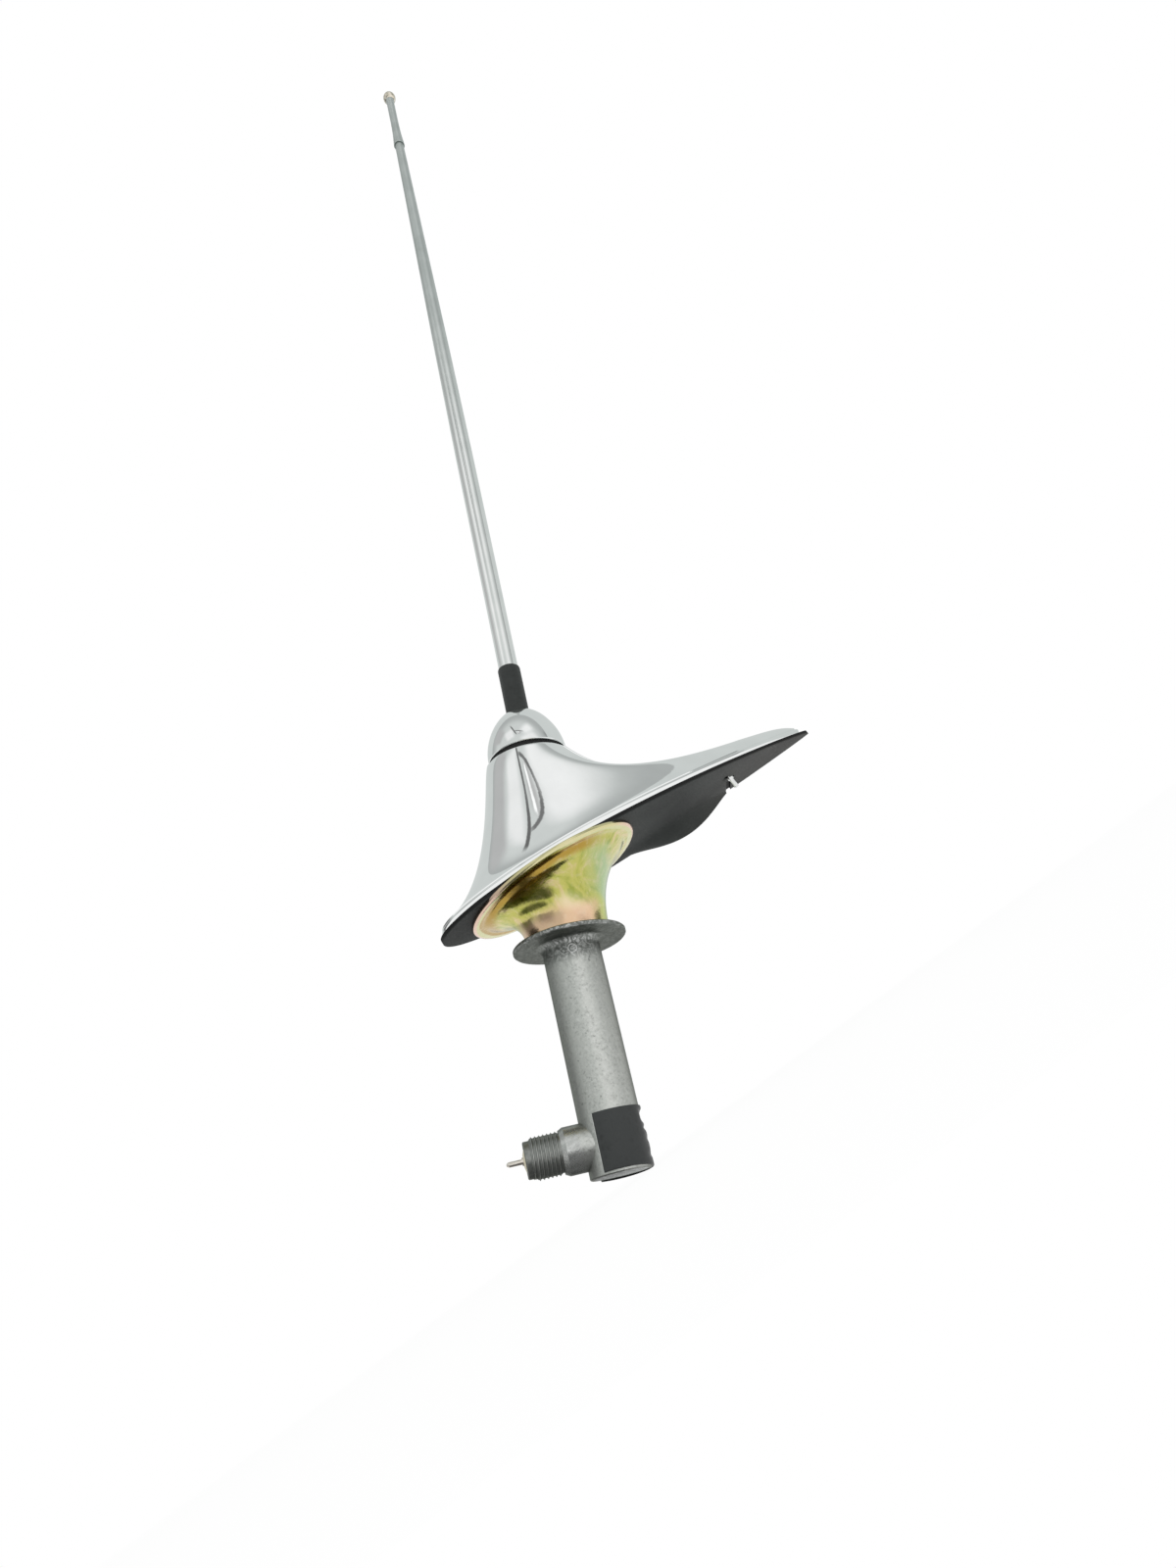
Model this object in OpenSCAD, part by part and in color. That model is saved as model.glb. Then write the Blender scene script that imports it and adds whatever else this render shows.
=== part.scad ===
// Telescopic fender antenna with a teardrop base, all sizes in millimetres.
// The origin is where the axis of the body meets the underside of the rubber pad.
// +Z points up out of the fender skin and +X runs along the base to its tail.
// Heights called "s" are measured from the origin along the leaning axis of the body.

/* [Lean] */
// Angle between the axis of the body and the upright of the fender, towards the tail
body_lean = 21.2; // [10:0.1:30]
// Further lean of the mast, which sits a little aslant in its insulators
mast_tilt = 0.8; // [0:0.1:1.2]
// Turn of the side connector about the body axis, from straight under the nose
connector_turn = -4.5; // [-15:0.1:15]

/* [Teardrop base] */
// Reach of the base from the body axis to its nose
nose_reach = 41.9; // [40:0.1:50]
// Reach of the base from the body axis to its tail
tail_reach = 113; // [100:1:120]
// Half the greatest width of the base
base_half_w = 25; // [22:0.5:30]
// Where along X the base is widest
widest_x = 10; // [5:1:15]
// Wall of the cast base
base_wall = 2.2; // [1.8:0.1:3]
// Height of the upright band round the foot of the base
band_h = 2.4; // [1.5:0.1:3]
// How much higher the band stands at the tail
tail_rise = 0.6; // [0:0.1:1.5]
// Height of the base's round top along the body axis
seam_s = 47; // [44:0.1:50]
// How far the near side of the round top stands off the cap nut
seam_dip = 1.1; // [0:0.1:1.5]
// Radius of the base's round top
seam_r = 14.4; // [13:0.1:16]

/* [Rubber pad] */
// Thickness of the rubber pad
pad_t = 1.5; // [1:0.1:3]
// How far the pad shows past the tail of the base
pad_over = 2.6; // [0:0.1:4]
// How far the pad shows past the nose of the base
nose_over = 1.5; // [0:0.1:3]
// How far the loose far edge of the pad hangs down
pad_sag = 5.5; // [0:0.5:7]

/* [Locating stud] */
// Distance of the stud from the body axis along X
stud_x = 77; // [70:0.5:90]
// Radius of the stud
stud_r = 0.9; // [0.7:0.1:1.5]
// How far the stud stands out below the pad
stud_out = 4.1; // [3:0.1:6]

/* [Support cup] */
// Radius of the cup's rim
cup_r = 32; // [30:0.1:34]
// Radius of the cup's neck
neck_r = 14; // [13:0.1:15]
// Height of the upturned lip of the cup
lip_h = 1.5; // [1:0.1:2.5]
// Sheet thickness of the cup
cup_t = 1.1; // [0.8:0.1:1.6]

/* [Cast body] */
// Radius of the body tube
tube_r = 9.525; // [9:0.025:10.5]
// Radius of the tube's bore
bore_r = 6.5; // [6:0.1:7]
// Lower end of the body tube, along the body axis
tube_end_s = -95.4; // [-100:0.1:-90]
// Lower face of the flange, along the body axis
flange_s = -23.6; // [-26:0.1:-22]
// Radius of the flange
flange_r = 18.9; // [17:0.1:20]
// Thickness of the flange
flange_t = 1.4; // [1:0.1:2]
// Radius of the threaded collar above the flange
collar_r = 8.7; // [8:0.1:9]
// Top of the threaded collar, along the body axis
collar_top_s = 55; // [53:0.5:57]

/* [Side connector] */
// Height of the connector axis, along the body axis
connector_s = -85.8; // [-87:0.1:-84]
// Radius of the plain boss
boss_r = 7; // [6.8:0.1:7.5]
// Reach of the plain boss from the body axis
boss_reach = 16.2; // [14:0.1:17]
// Radius at the foot of the thread
thread_root_r = 5.65; // [5.5:0.05:5.9]
// Reach of the threaded barrel from the body axis
barrel_reach = 27.2; // [24:0.1:28]
// Radius of the contact pin
pin_r = 0.8; // [0.7:0.05:1]
// Reach of the contact pin from the body axis
pin_reach = 32.8; // [30:0.1:35]

/* [Window cover] */
// Upper edge of the cover, along the body axis
cover_top_s = -77.8; // [-79:0.1:-75]
// Lower edge of the cover, along the body axis
cover_end_s = -95.2; // [-96:0.1:-93]
// Half the angle that the cover leaves open at the connector
cover_gap = 55.5; // [50:0.5:62]
// Thickness of the cover
cover_t = 0.5; // [0.4:0.1:1]

/* [Cap nut] */
// Height of the domed cap nut
nut_h = 18; // [16:0.1:20]
// Width of the two spanner slots in its top
slot_w = 3.6; // [3:0.1:4]

/* [Mast] */
// Radius of the lower half of the mast tube
mast_r = 3.675; // [3.5:0.025:4]
// Radius of the top end of the mast tube
mast_top_r = 2.2; // [2.1:0.05:2.4]
// Top end of the mast tube, along the body axis
mast_top_s = 420.4; // [400:1:440]
// Wall of the mast tube
mast_wall = 0.45; // [0.4:0.05:0.5]
// Radius of the sliding rod
rod_r = 1.4; // [1.3:0.05:1.45]
// Centre of the tip ball, along the body axis
ball_s = 462.5; // [440:0.1:480]
// Radius of the tip ball
ball_r = 3.25; // [3:0.05:3.5]

/* [Black sleeve] */
// Radius of the insulating sleeve
sleeve_r = 4.2; // [4.1:0.02:4.6]
// Top of the insulating sleeve, along the body axis
sleeve_top_s = 86; // [84:0.1:90]

/* [Hidden] */

$fn = 96;

// A gap that keeps two touching round faces from cutting into each other
seat_gap = 0.04;
// Points round a lofted shell
around = 72;
// Steps up a lofted shell
steps_up = 12;

// Heights of the cast body
flange_top_s = flange_s + flange_t;
disc_seat_r = 8.2;
disc_t = 1.3;
connector_az = 180 + connector_turn;
barrel_bore_r = 4.2;

// Heights of the base
foot_z = pad_t;
crease_z = foot_z + band_h;
hole_r = collar_r + 0.4;
pad_hole_r = 12;
dip_half = 76;

// Cap nut and what lies between its top and the collar
nut_s = seam_s + 0.2;
seal_s = seam_s - seam_dip;
seal_r = seam_r - 1.2;
nut_top_s = nut_s + nut_h;
nut_r = seam_r - 0.2;
nut_flat_r = 5.6;
nut_bore_r = 6.4;
nut_bore_top_s = collar_top_s + 5;
shoulder_r = 6.1;
shoulder_low_s = collar_top_s + 1.2;
shoulder_top_s = shoulder_low_s + 2.4;

// Where the axis of the mast crosses the axis of the body
pivot_s = 66;
mast_foot_s = 18;
foot_head = 6;
socket_depth = 4;
socket_r = 1.3;
lower_low_s = 2;
lower_top_s = 34;
upper_low_s = 38;
upper_top_s = collar_top_s + 0.8;
taper_from_s = 195;
taper_mid_s = 262;
taper_mid_r = 3.4;
bush_len = 8;
rod_foot_s = 30;
stop_len = 20;

// Lead from the connector to the foot of the mast
wire_r = 1.15;
bend_r = 4;
lead_low_s = connector_s + bend_r;
lead_top_s = mast_foot_s - 2.2;
lead_tilt = atan((pivot_s - lead_top_s) * sin(mast_tilt) / (lead_top_s - lead_low_s));

// Contact of the connector and the face of its insulator
insulator_face = barrel_reach + 0.5;
pin_shoulder = insulator_face + 0.4;
pin_thick_r = 1.25;
crimp_low = 7;
crimp_top = 10;
crimp_end = 13;

// Unit vectors of the body axis and of the level line across it
axis_v = [sin(body_lean), 0, cos(body_lean)];
across_v = [cos(body_lean), 0, -sin(body_lean)];
side_v = [0, 1, 0];

// Puts children on the leaning axis of the body
module on_axis(s = 0) {
    rotate([0, body_lean, 0])
        translate([0, 0, s])
            children();
}

// Puts children on the axis of the mast
module on_mast(s = 0) {
    on_axis(pivot_s)
        rotate([0, mast_tilt, 0])
            translate([0, 0, s - pivot_s])
                children();
}

// Puts children on the connector axis, with +Z pointing out of the connector
module on_connector(reach = 0) {
    on_axis(connector_s)
        rotate([0, 0, connector_az])
            rotate([0, 90, 0])
                translate([0, 0, reach])
                    children();
}

// A plain tube between two heights
module tube(outer, inner, low, high) {
    rotate_extrude()
        polygon([[inner, low], [outer, low], [outer, high], [inner, high]]);
}

function mix(p, q, t) = p * (1 - t) + q * t;

function bezier(p0, p1, p2, p3, t) =
    p0 * pow(1 - t, 3) + 3 * p1 * t * pow(1 - t, 2) + 3 * p2 * t * t * (1 - t) + p3 * pow(t, 3);

// Half width of the teardrop at a share of its tail, from 0 at the widest place to 1 at the tip
function tail_share(u) = 0.85 * (1 - pow(u, 1.65)) + 0.15 * sqrt(max(0, 1 - u * u));

// Outline of the teardrop at an angle, drawn in from its edge by an inset
function outline(angle, inset = 0, tail = tail_reach, z = 0) =
    let (c = cos(angle))
    let (half = base_half_w - inset)
    c >= 0
        ? [widest_x + (tail - inset * 1.8 - widest_x) * c, sign(sin(angle)) * half * tail_share(c), z]
        : [widest_x + (nose_reach - inset + widest_x) * c, half * sin(angle), z];

// Height of the crease above the band
function crease_at(angle) = crease_z + tail_rise * pow(max(0, cos(angle)), 4);

// Ring about the body axis
function top_ring(angle, r, s) =
    axis_v * s + r * (cos(angle) * across_v + sin(angle) * side_v);

// How the side of the base swings at its tail, its flanks and its nose: how far the upper handle
// drops and stands out, how far the lower handle goes in, as a share, and how far it rises
tail_swing = [38.6, 29.7, 0.194, 14.6];
flank_swing = [14, 3, 0.18, 6];
nose_swing = [1.5, 3.2, 0.485, 5.1];

// Drop of the round top's rim, along the side that faces away from +Y
function dip_at(angle) =
    let (from_middle = abs((angle + 284) % 360 - 180))
    from_middle < dip_half ? seam_dip * pow(cos(90 * from_middle / dip_half), 0.4) : 0;

// One point of the base's swept side, from 0 at the crease to 1 at the round top
function side_point(angle, t, inset, z0, r, s) =
    let (c = cos(angle))
    let (swing = mix(flank_swing, c >= 0 ? tail_swing : nose_swing, c * c))
    let (top = top_ring(angle, r, s - dip_at(angle)))
    let (low = outline(angle, inset, tail_reach, z0))
    let (outward = c * across_v + sin(angle) * side_v)
    let (high_handle = top - axis_v * swing[0] + outward * swing[1])
    let (low_handle = mix(low, [widest_x, 0, z0], swing[2]) + [0, 0, swing[3]])
    bezier(low, low_handle, high_handle, top, t);

// A closed ring-shaped solid from rings of equal point count, joined last to first
module ring_solid(rings) {
    n = len(rings[0]);
    m = len(rings);
    points = [for (ring = rings) for (p = ring) p];
    faces = [
        for (j = [0 : m - 1])
            for (i = [0 : n - 1])
                let (a = j * n + i)
                let (b = j * n + (i + 1) % n)
                let (c = ((j + 1) % m) * n + i)
                let (d = ((j + 1) % m) * n + (i + 1) % n)
                for (f = [[a, c, b], [b, c, d]]) f
    ];
    polyhedron(points, faces, convexity = 8);
}

function angles() = [for (i = [0 : around - 1]) 360 * i / around];

// Zinc body: tube with a side connector, a flange and a collar, cast in one
module body_casting() {
    fillet = 2.2;
    edge = 0.3;
    boss_chamfer = 0.7;
    nose_r = 5.4;
    nose_l = 1.8;
    window_w = 10;
    window_h = 14;
    color("darkgray")
    difference() {
        union() {
            on_axis()
                rotate_extrude()
                    polygon([
                        [0, tube_end_s], [tube_r - edge, tube_end_s], [tube_r, tube_end_s + edge],
                        [tube_r, flange_s - fillet],
                        for (k = [1 : 7])
                            [tube_r + fillet * (1 - cos(90 * k / 8)), flange_s - fillet * (1 - sin(90 * k / 8))],
                        [tube_r + fillet, flange_s], [flange_r - edge, flange_s],
                        [flange_r, flange_s + edge], [flange_r, flange_top_s - edge],
                        [flange_r - edge, flange_top_s], [collar_r + edge, flange_top_s],
                        [collar_r, flange_top_s + edge], [collar_r, collar_top_s - 0.8],
                        [collar_r - 0.8, collar_top_s], [0, collar_top_s]
                    ]);
            on_connector()
                rotate_extrude()
                    polygon([
                        [0, 0], [boss_r, 0], [boss_r, boss_reach - 2 * boss_chamfer],
                        [boss_r - boss_chamfer, boss_reach], [thread_root_r, boss_reach],
                        [thread_root_r, barrel_reach - nose_l - edge], [nose_r, barrel_reach - nose_l],
                        [nose_r, barrel_reach - edge], [nose_r - edge, barrel_reach], [0, barrel_reach]
                    ]);
        }
        on_axis(tube_end_s - 1)
            cylinder(r = bore_r, h = collar_top_s - tube_end_s + 2);
        on_axis(tube_end_s - 1)
            cylinder(r = disc_seat_r, h = disc_t + 2);
        on_connector(bore_r - 1)
            cylinder(r = barrel_bore_r, h = barrel_reach - bore_r + 2);
        on_axis(connector_s)
            rotate([0, 0, connector_turn])
                translate([bore_r - 1, -window_w / 2, -window_h / 2])
                    cube([tube_r, window_w, window_h]);
    }
}

// Flared cup that spreads the load under the fender skin, pressed from one sheet
module support_cup() {
    seat_s = flange_top_s;
    bottom_r = collar_r + 0.9;
    bend = 1.4;
    rim_in = 1.6;
    rim_x = -0.6;
    skin_gap = 0.02;
    function rim(angle, r, z) = [r * cos(angle) + rim_x, r * sin(angle), z];
    function flare(angle, t, inset) =
        let (low = top_ring(angle, neck_r - inset, seat_s + bend))
        let (high = rim(angle, cup_r - rim_in - inset, -lip_h + inset))
        let (room = norm(high - low))
        let (low_handle = low + axis_v * room * 0.5)
        let (high_handle = mix(high, rim(angle, 0, -lip_h + inset), 0.26) - [0, 0, room * 0.06])
        bezier(low, low_handle, high_handle, high, t);
    outer = [
        for (r = [bottom_r, neck_r - bend]) [for (a = angles()) top_ring(a, r, seat_s)],
        [for (a = angles()) top_ring(a, neck_r - bend * 0.3, seat_s + bend * 0.3)],
        for (k = [0 : steps_up]) [for (a = angles()) flare(a, k / steps_up, 0)],
        [for (a = angles()) rim(a, cup_r - 0.4, -lip_h + 0.1)],
        [for (a = angles()) rim(a, cup_r, -lip_h + 0.5)],
        [for (a = angles()) rim(a, cup_r, -skin_gap)]
    ];
    inner = [
        [for (a = angles()) rim(a, cup_r - cup_t, -skin_gap)],
        for (k = [0 : steps_up]) [for (a = angles()) flare(a, 1 - k / steps_up, cup_t)],
        [for (a = angles()) top_ring(a, neck_r - bend - cup_t * 0.5, seat_s + cup_t)],
        [for (a = angles()) top_ring(a, bottom_r, seat_s + cup_t)]
    ];
    color("goldenrod")
        ring_solid(concat(outer, inner));
}

// How far the loose far edge of the pad hangs below the fender plane at a place along X
function sag_at(x) =
    let (along = (x - 59) / 22.5)
    pad_sag * pow(max(0, 1 - along * along), 1.5);

// Rubber pad between the base and the fender skin, hanging loose along its far side
module rubber_pad() {
    rings_in = 2;
    rings_out = 7;
    rim_clear = cup_r + 3;
    thin = pad_t - 0.02;
    slit_w = 1.3;
    slit_turn = -18;
    pad_slot_w = 1;
    slot_len = 9;
    slot_turn = 228;
    clear_r = stud_r + 0.7;
    sides = concat([0 : 5 : 35], [40 : 2.5 : 77.5], [80 : 5 : 355]);
    pad_angles = [for (part = sides) each part];
    function pad_point(angle, k, z) =
        let (nose = [min(0, nose_over * cos(angle)), 0, 0])
        let (edge = outline(angle, 0, tail_reach + pad_over) + nose)
        let (hole = [pad_hole_r * cos(angle), pad_hole_r * sin(angle), 0])
        let (flat = min(0.8, (rim_clear - pad_hole_r) / (norm(edge) - pad_hole_r)))
        let (out = max(0, (k - rings_in) / (rings_out - rings_in)))
        let (share = k < rings_in ? flat * k / rings_in : mix(flat, 1, out))
        let (hang = sin(angle) > 0 ? sag_at(edge[0]) * pow(out, 1.4) : 0)
        mix(hole, edge, share) + [0, 0, z - hang];
    color("dimgray")
    difference() {
        ring_solid(concat(
            [for (k = [0 : rings_out]) [for (a = pad_angles) pad_point(a, k, 0)]],
            [for (k = [rings_out : -1 : 0]) [for (a = pad_angles) pad_point(a, k, thin)]]
        ));
        translate([stud_x, 0, -10])
            cylinder(r = clear_r, h = 20);
        translate([stud_x, 0, -10])
            rotate([0, 0, slot_turn])
                translate([0, -pad_slot_w / 2, 0])
                    cube([slot_len, pad_slot_w, 20]);
        translate([stud_x, 0, -10])
            rotate([0, 0, slit_turn])
                translate([-slit_w / 2, 0, 0])
                    cube([slit_w, base_half_w, 20]);
    }
}

// Chromed base, a hollow casting swept from a teardrop foot up to a round top
module teardrop_base() {
    top_plate = 2.2;
    crease_in = 0.5;
    stud_boss_r = 2.4;
    stud_boss_h = 7;
    stud_foot_r = stud_r + 0.4;
    stud_foot = 0.3;
    under_s = seal_s - top_plate;
    inner_r = seam_r - base_wall;
    outer = [
        [for (a = angles()) outline(a, 0, tail_reach, foot_z)],
        [for (a = angles()) outline(a, 0, tail_reach, crease_at(a) - crease_in)],
        for (k = [0 : steps_up])
            [for (a = angles()) side_point(a, k / steps_up, crease_in, crease_at(a), seam_r, seam_s)]
    ];
    top = [
        [for (a = angles()) top_ring(a, seal_r + seat_gap, seal_s)],
        [for (a = angles()) top_ring(a, hole_r, seal_s)],
        [for (a = angles()) top_ring(a, hole_r, under_s)]
    ];
    inner = [
        for (k = [steps_up : -1 : 0])
            [for (a = angles()) side_point(a, k / steps_up, base_wall + crease_in, crease_z - 1.2, inner_r, under_s)],
        [for (a = angles()) outline(a, base_wall, tail_reach, foot_z)]
    ];
    color("silver")
    union() {
        ring_solid(concat(outer, top, inner));
        translate([stud_x, 0, foot_z])
            cylinder(r = stud_boss_r, h = stud_boss_h);
        translate([stud_x, 0, -stud_foot])
            cylinder(r = stud_foot_r, h = foot_z + stud_foot + 1);
        translate([stud_x, 0, -stud_out])
            cylinder(r = stud_r, h = stud_out);
    }
}

// Black ring that seals the cap nut to the top of the base, sunk into a recess
module nut_seal() {
    color("black")
        on_axis()
            tube(seal_r, hole_r, seal_s + seat_gap, nut_s - seat_gap);
}

// Domed chrome nut that screws onto the collar and clamps the base down
module cap_nut() {
    edge = 0.4;
    skirt = 1.6;
    steps = 18;
    roundness = 1.77;
    thread_r = collar_r + 0.08;
    dome_h = nut_h - skirt;
    full_h = dome_h / pow(1 - pow(nut_flat_r / nut_r, roundness), 1 / roundness);
    function dome_r(z) = nut_r * pow(1 - pow(z / full_h, roundness), 1 / roundness);
    color("gainsboro")
    difference() {
        on_axis()
            rotate_extrude()
                polygon([
                    [0, nut_s], [nut_r - edge, nut_s], [nut_r, nut_s + edge], [nut_r, nut_s + skirt],
                    for (k = [1 : steps])
                        let (z = dome_h * sin(90 * k / steps))
                        [dome_r(z), nut_s + skirt + z],
                    [0, nut_top_s]
                ]);
        on_axis(nut_s - 1)
            cylinder(r = thread_r, h = collar_top_s - nut_s + 2);
        on_axis(nut_s)
            cylinder(r = nut_bore_r, h = nut_bore_top_s - nut_s);
        on_mast(nut_s)
            cylinder(r = sleeve_r + seat_gap, h = nut_h + 1);
        on_axis(nut_top_s - 1.5)
            rotate([0, 0, 80])
                translate([-seam_r, -slot_w / 2, 0])
                    cube([2 * seam_r, slot_w, 4]);
    }
}

// Black plastic sleeve that holds the mast clear of the nut
module insulator_sleeve() {
    inner = mast_r + seat_gap;
    edge = 0.4;
    color("#202224")
        on_mast()
            rotate_extrude()
                polygon([
                    [inner, shoulder_low_s], [shoulder_r, shoulder_low_s], [shoulder_r, shoulder_top_s],
                    [sleeve_r, shoulder_top_s], [sleeve_r, sleeve_top_s - edge],
                    [sleeve_r - edge, sleeve_top_s], [inner, sleeve_top_s]
                ]);
}

// Rubber ring squeezed between the sleeve's shoulder and the nut
module sleeve_seal() {
    color("black")
        on_mast()
            tube(shoulder_r, sleeve_r + seat_gap, shoulder_top_s + seat_gap, nut_bore_top_s - 0.15);
}

// Plastic bush that centres the mast in the collar
module upper_insulator() {
    color("ivory")
    difference() {
        on_axis(upper_low_s)
            cylinder(r = bore_r - seat_gap, h = upper_top_s - upper_low_s);
        on_mast(upper_low_s - 1)
            cylinder(r = mast_r + seat_gap, h = upper_top_s - upper_low_s + 2);
    }
}

// Plastic cup that carries the foot of the mast
module lower_insulator() {
    color("ivory")
    difference() {
        on_axis(lower_low_s)
            cylinder(r = bore_r - seat_gap, h = lower_top_s - lower_low_s);
        on_mast(mast_foot_s - foot_head - 0.1)
            cylinder(r = mast_r + seat_gap, h = lower_top_s - mast_foot_s + foot_head + 1);
        on_lead()
            cylinder(r = wire_r + 0.15, h = lead_top_s - lead_low_s);
    }
}

function mast_outer(s) =
    s < taper_from_s ? mast_r
    : s < taper_mid_s
        ? mast_r + (taper_mid_r - mast_r) * (s - taper_from_s) / (taper_mid_s - taper_from_s)
        : taper_mid_r + (mast_top_r - taper_mid_r) * (s - taper_mid_s) / (mast_top_s - taper_mid_s);

// Outer mast tube, straight below and drawn to a taper above
module mast_tube() {
    edge = 0.25;
    heights = [mast_foot_s, taper_from_s, taper_mid_s, mast_top_s - edge];
    color("lightgray")
        on_mast()
            rotate_extrude()
                polygon(concat(
                    [for (s = heights) [mast_outer(s), s]],
                    [[mast_top_r - edge, mast_top_s], [mast_top_r - mast_wall, mast_top_s]],
                    [for (k = [2 : -1 : 0]) [mast_outer(heights[k]) - mast_wall, heights[k]]]
                ));
}

// Brass plug in the foot of the mast tube, with a socket for the lead
module mast_foot() {
    plug_r = mast_r - mast_wall - seat_gap;
    head_s = mast_foot_s - foot_head;
    plug_top_s = rod_foot_s - 3;
    color("peru")
        on_mast()
            rotate_extrude()
                polygon([
                    [0, head_s + socket_depth], [socket_r, head_s + socket_depth], [socket_r, head_s],
                    [mast_r, head_s], [mast_r, mast_foot_s - seat_gap],
                    [plug_r, mast_foot_s - seat_gap], [plug_r, plug_top_s], [0, plug_top_s]
                ]);
}

// Brass bush in the top of the mast tube, which grips the sliding rod
module guide_bush() {
    color("peru")
        on_mast()
            tube(mast_top_r - mast_wall - seat_gap, rod_r + 0.05, mast_top_s - bush_len, mast_top_s);
}

// Puts children where the lead leaves its bend, on the line to the foot of the mast
module on_lead() {
    on_axis(lead_low_s)
        rotate([0, -lead_tilt, 0])
            children();
}

// Stiff lead from the mast foot down the tube and out to the contact pin, with a
// solder bead where its bend begins
module lead_wire() {
    bead_r = wire_r + 0.3;
    start = 0.1;
    color("orangered") {
        on_lead() {
            sphere(r = bead_r, $fn = 48);
            translate([0, 0, start])
                cylinder(r = wire_r, h = lead_top_s - lead_low_s - start);
        }
        on_axis(connector_s)
            rotate([0, 0, connector_az])
                translate([bend_r, 0, bend_r])
                    rotate([90, 0, 0])
                        rotate([0, 0, 180])
                            rotate_extrude(angle = 90)
                                translate([bend_r, 0])
                                    circle(r = wire_r, $fn = 32);
        on_connector(bend_r)
            cylinder(r = wire_r, h = crimp_top - bend_r - seat_gap);
    }
}

// Plated centre contact of the connector, with a socket for the lead
module contact_pin() {
    crimp_r = 1.9;
    point = 0.8;
    color("white")
        on_connector()
            rotate_extrude()
                polygon([
                    [0, crimp_top], [wire_r + seat_gap, crimp_top], [wire_r + seat_gap, crimp_low],
                    [crimp_r, crimp_low], [crimp_r, crimp_end], [pin_thick_r, crimp_end],
                    [pin_thick_r, pin_shoulder], [pin_r, pin_shoulder], [pin_r, pin_reach - point],
                    [pin_r * 0.72, pin_reach - point * 0.3], [pin_r * 0.3, pin_reach], [0, pin_reach]
                ]);
}

// Beige insulator that centres the contact pin in the barrel
module connector_insulator() {
    bore = pin_thick_r + seat_gap;
    fit_r = barrel_bore_r - seat_gap;
    step = barrel_reach - 0.4;
    color("wheat")
        on_connector()
            rotate_extrude()
                polygon([
                    [bore, crimp_end + 0.1], [fit_r, crimp_end + 0.1], [fit_r, step],
                    [fit_r - 1, step + 0.5], [bore + 0.4, insulator_face], [bore, insulator_face]
                ]);
}

// Black wrap that closes the window where the lead is soldered
module window_cover() {
    slant = 4;
    boss_gap = 0.15;
    color("#303236")
    difference() {
        on_axis()
            rotate([0, 0, connector_az + cover_gap])
                rotate_extrude(angle = 360 - 2 * cover_gap)
                    translate([tube_r + seat_gap, cover_end_s - 2])
                        square([cover_t, cover_top_s - cover_end_s + 2]);
        on_axis(cover_end_s)
            rotate([0, 0, -10])
                rotate([-slant, 0, 0])
                    translate([-20, -20, -10])
                        cube([40, 40, 10]);
        on_connector()
            cylinder(r = boss_r + boss_gap, h = boss_reach);
    }
}

// Disc that closes the lower end of the bore
module end_disc() {
    color("lightslategray")
        on_axis(tube_end_s)
            cylinder(r = disc_seat_r - seat_gap, h = disc_t);
}

// Inner rod that slides out of the mast tube
module sliding_rod() {
    color("lightgray")
        on_mast(rod_foot_s)
            cylinder(r = rod_r, h = ball_s - rod_foot_s);
}

// Crimped collar that stops the rod from pulling out
module rod_stop() {
    stop_r = 1.62;
    color("peru")
        on_mast()
            tube(stop_r, rod_r, rod_foot_s, rod_foot_s + stop_len);
}

// Skirted cap that covers the joint of rod and tube
module tip_cap() {
    lip_s = mast_top_s - 1.6;
    bore = mast_top_r + 0.25;
    color("lightgray")
        on_mast()
            rotate_extrude()
                polygon([
                    [bore, lip_s], [2.75, lip_s], [2.78, lip_s + 0.5], [2.5, lip_s + 5],
                    [2.15, lip_s + 12], [2, lip_s + 22], [2, ball_s - 5], [2.25, ball_s - 3.1],
                    [2.25, ball_s - 2.4], [1.8, ball_s - 2.76], [rod_r, ball_s - 2.99],
                    [rod_r, mast_top_s + 0.6], [bore, mast_top_s + 0.6]
                ]);
}

// Ball that finishes the tip
module tip_ball() {
    color("tan")
        on_mast(ball_s)
            difference() {
                sphere(r = ball_r, $fn = 64);
                translate([0, 0, -ball_r - 1])
                    cylinder(r = rod_r, h = ball_r + 1);
            }
}

body_casting();
support_cup();
rubber_pad();
teardrop_base();
nut_seal();
cap_nut();
insulator_sleeve();
sleeve_seal();
upper_insulator();
lower_insulator();
mast_tube();
mast_foot();
guide_bush();
lead_wire();
contact_pin();
connector_insulator();
window_cover();
end_disc();
sliding_rod();
rod_stop();
tip_cap();
tip_ball();
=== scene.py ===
"""Looks of the fender antenna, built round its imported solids.

Shapes are written in millimetres, and raw_object() turns them into metres. The zones of the
materials, the floor, the camera and the lamp are in metres.
"""

from itertools import product
from math import cos, radians, sin

import bpy
import numpy as np
from mathutils import Matrix, Vector


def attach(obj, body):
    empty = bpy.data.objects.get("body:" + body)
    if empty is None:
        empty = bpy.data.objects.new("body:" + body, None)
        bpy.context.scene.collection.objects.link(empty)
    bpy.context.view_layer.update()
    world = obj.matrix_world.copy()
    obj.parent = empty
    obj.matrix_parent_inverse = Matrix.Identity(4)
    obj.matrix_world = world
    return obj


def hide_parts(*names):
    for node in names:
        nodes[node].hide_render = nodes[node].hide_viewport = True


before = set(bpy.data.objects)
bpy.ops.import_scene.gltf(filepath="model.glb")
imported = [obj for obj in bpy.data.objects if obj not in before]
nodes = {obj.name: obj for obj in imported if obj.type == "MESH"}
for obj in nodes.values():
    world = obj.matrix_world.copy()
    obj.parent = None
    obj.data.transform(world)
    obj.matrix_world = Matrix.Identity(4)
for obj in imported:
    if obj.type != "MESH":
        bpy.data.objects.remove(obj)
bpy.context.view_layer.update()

# Frames of the part. The body leans towards the tail and the mast a little more, from PIVOT
# on. The connector stands out sideways at CONNECTOR_S. An s is a distance along an axis.

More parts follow.
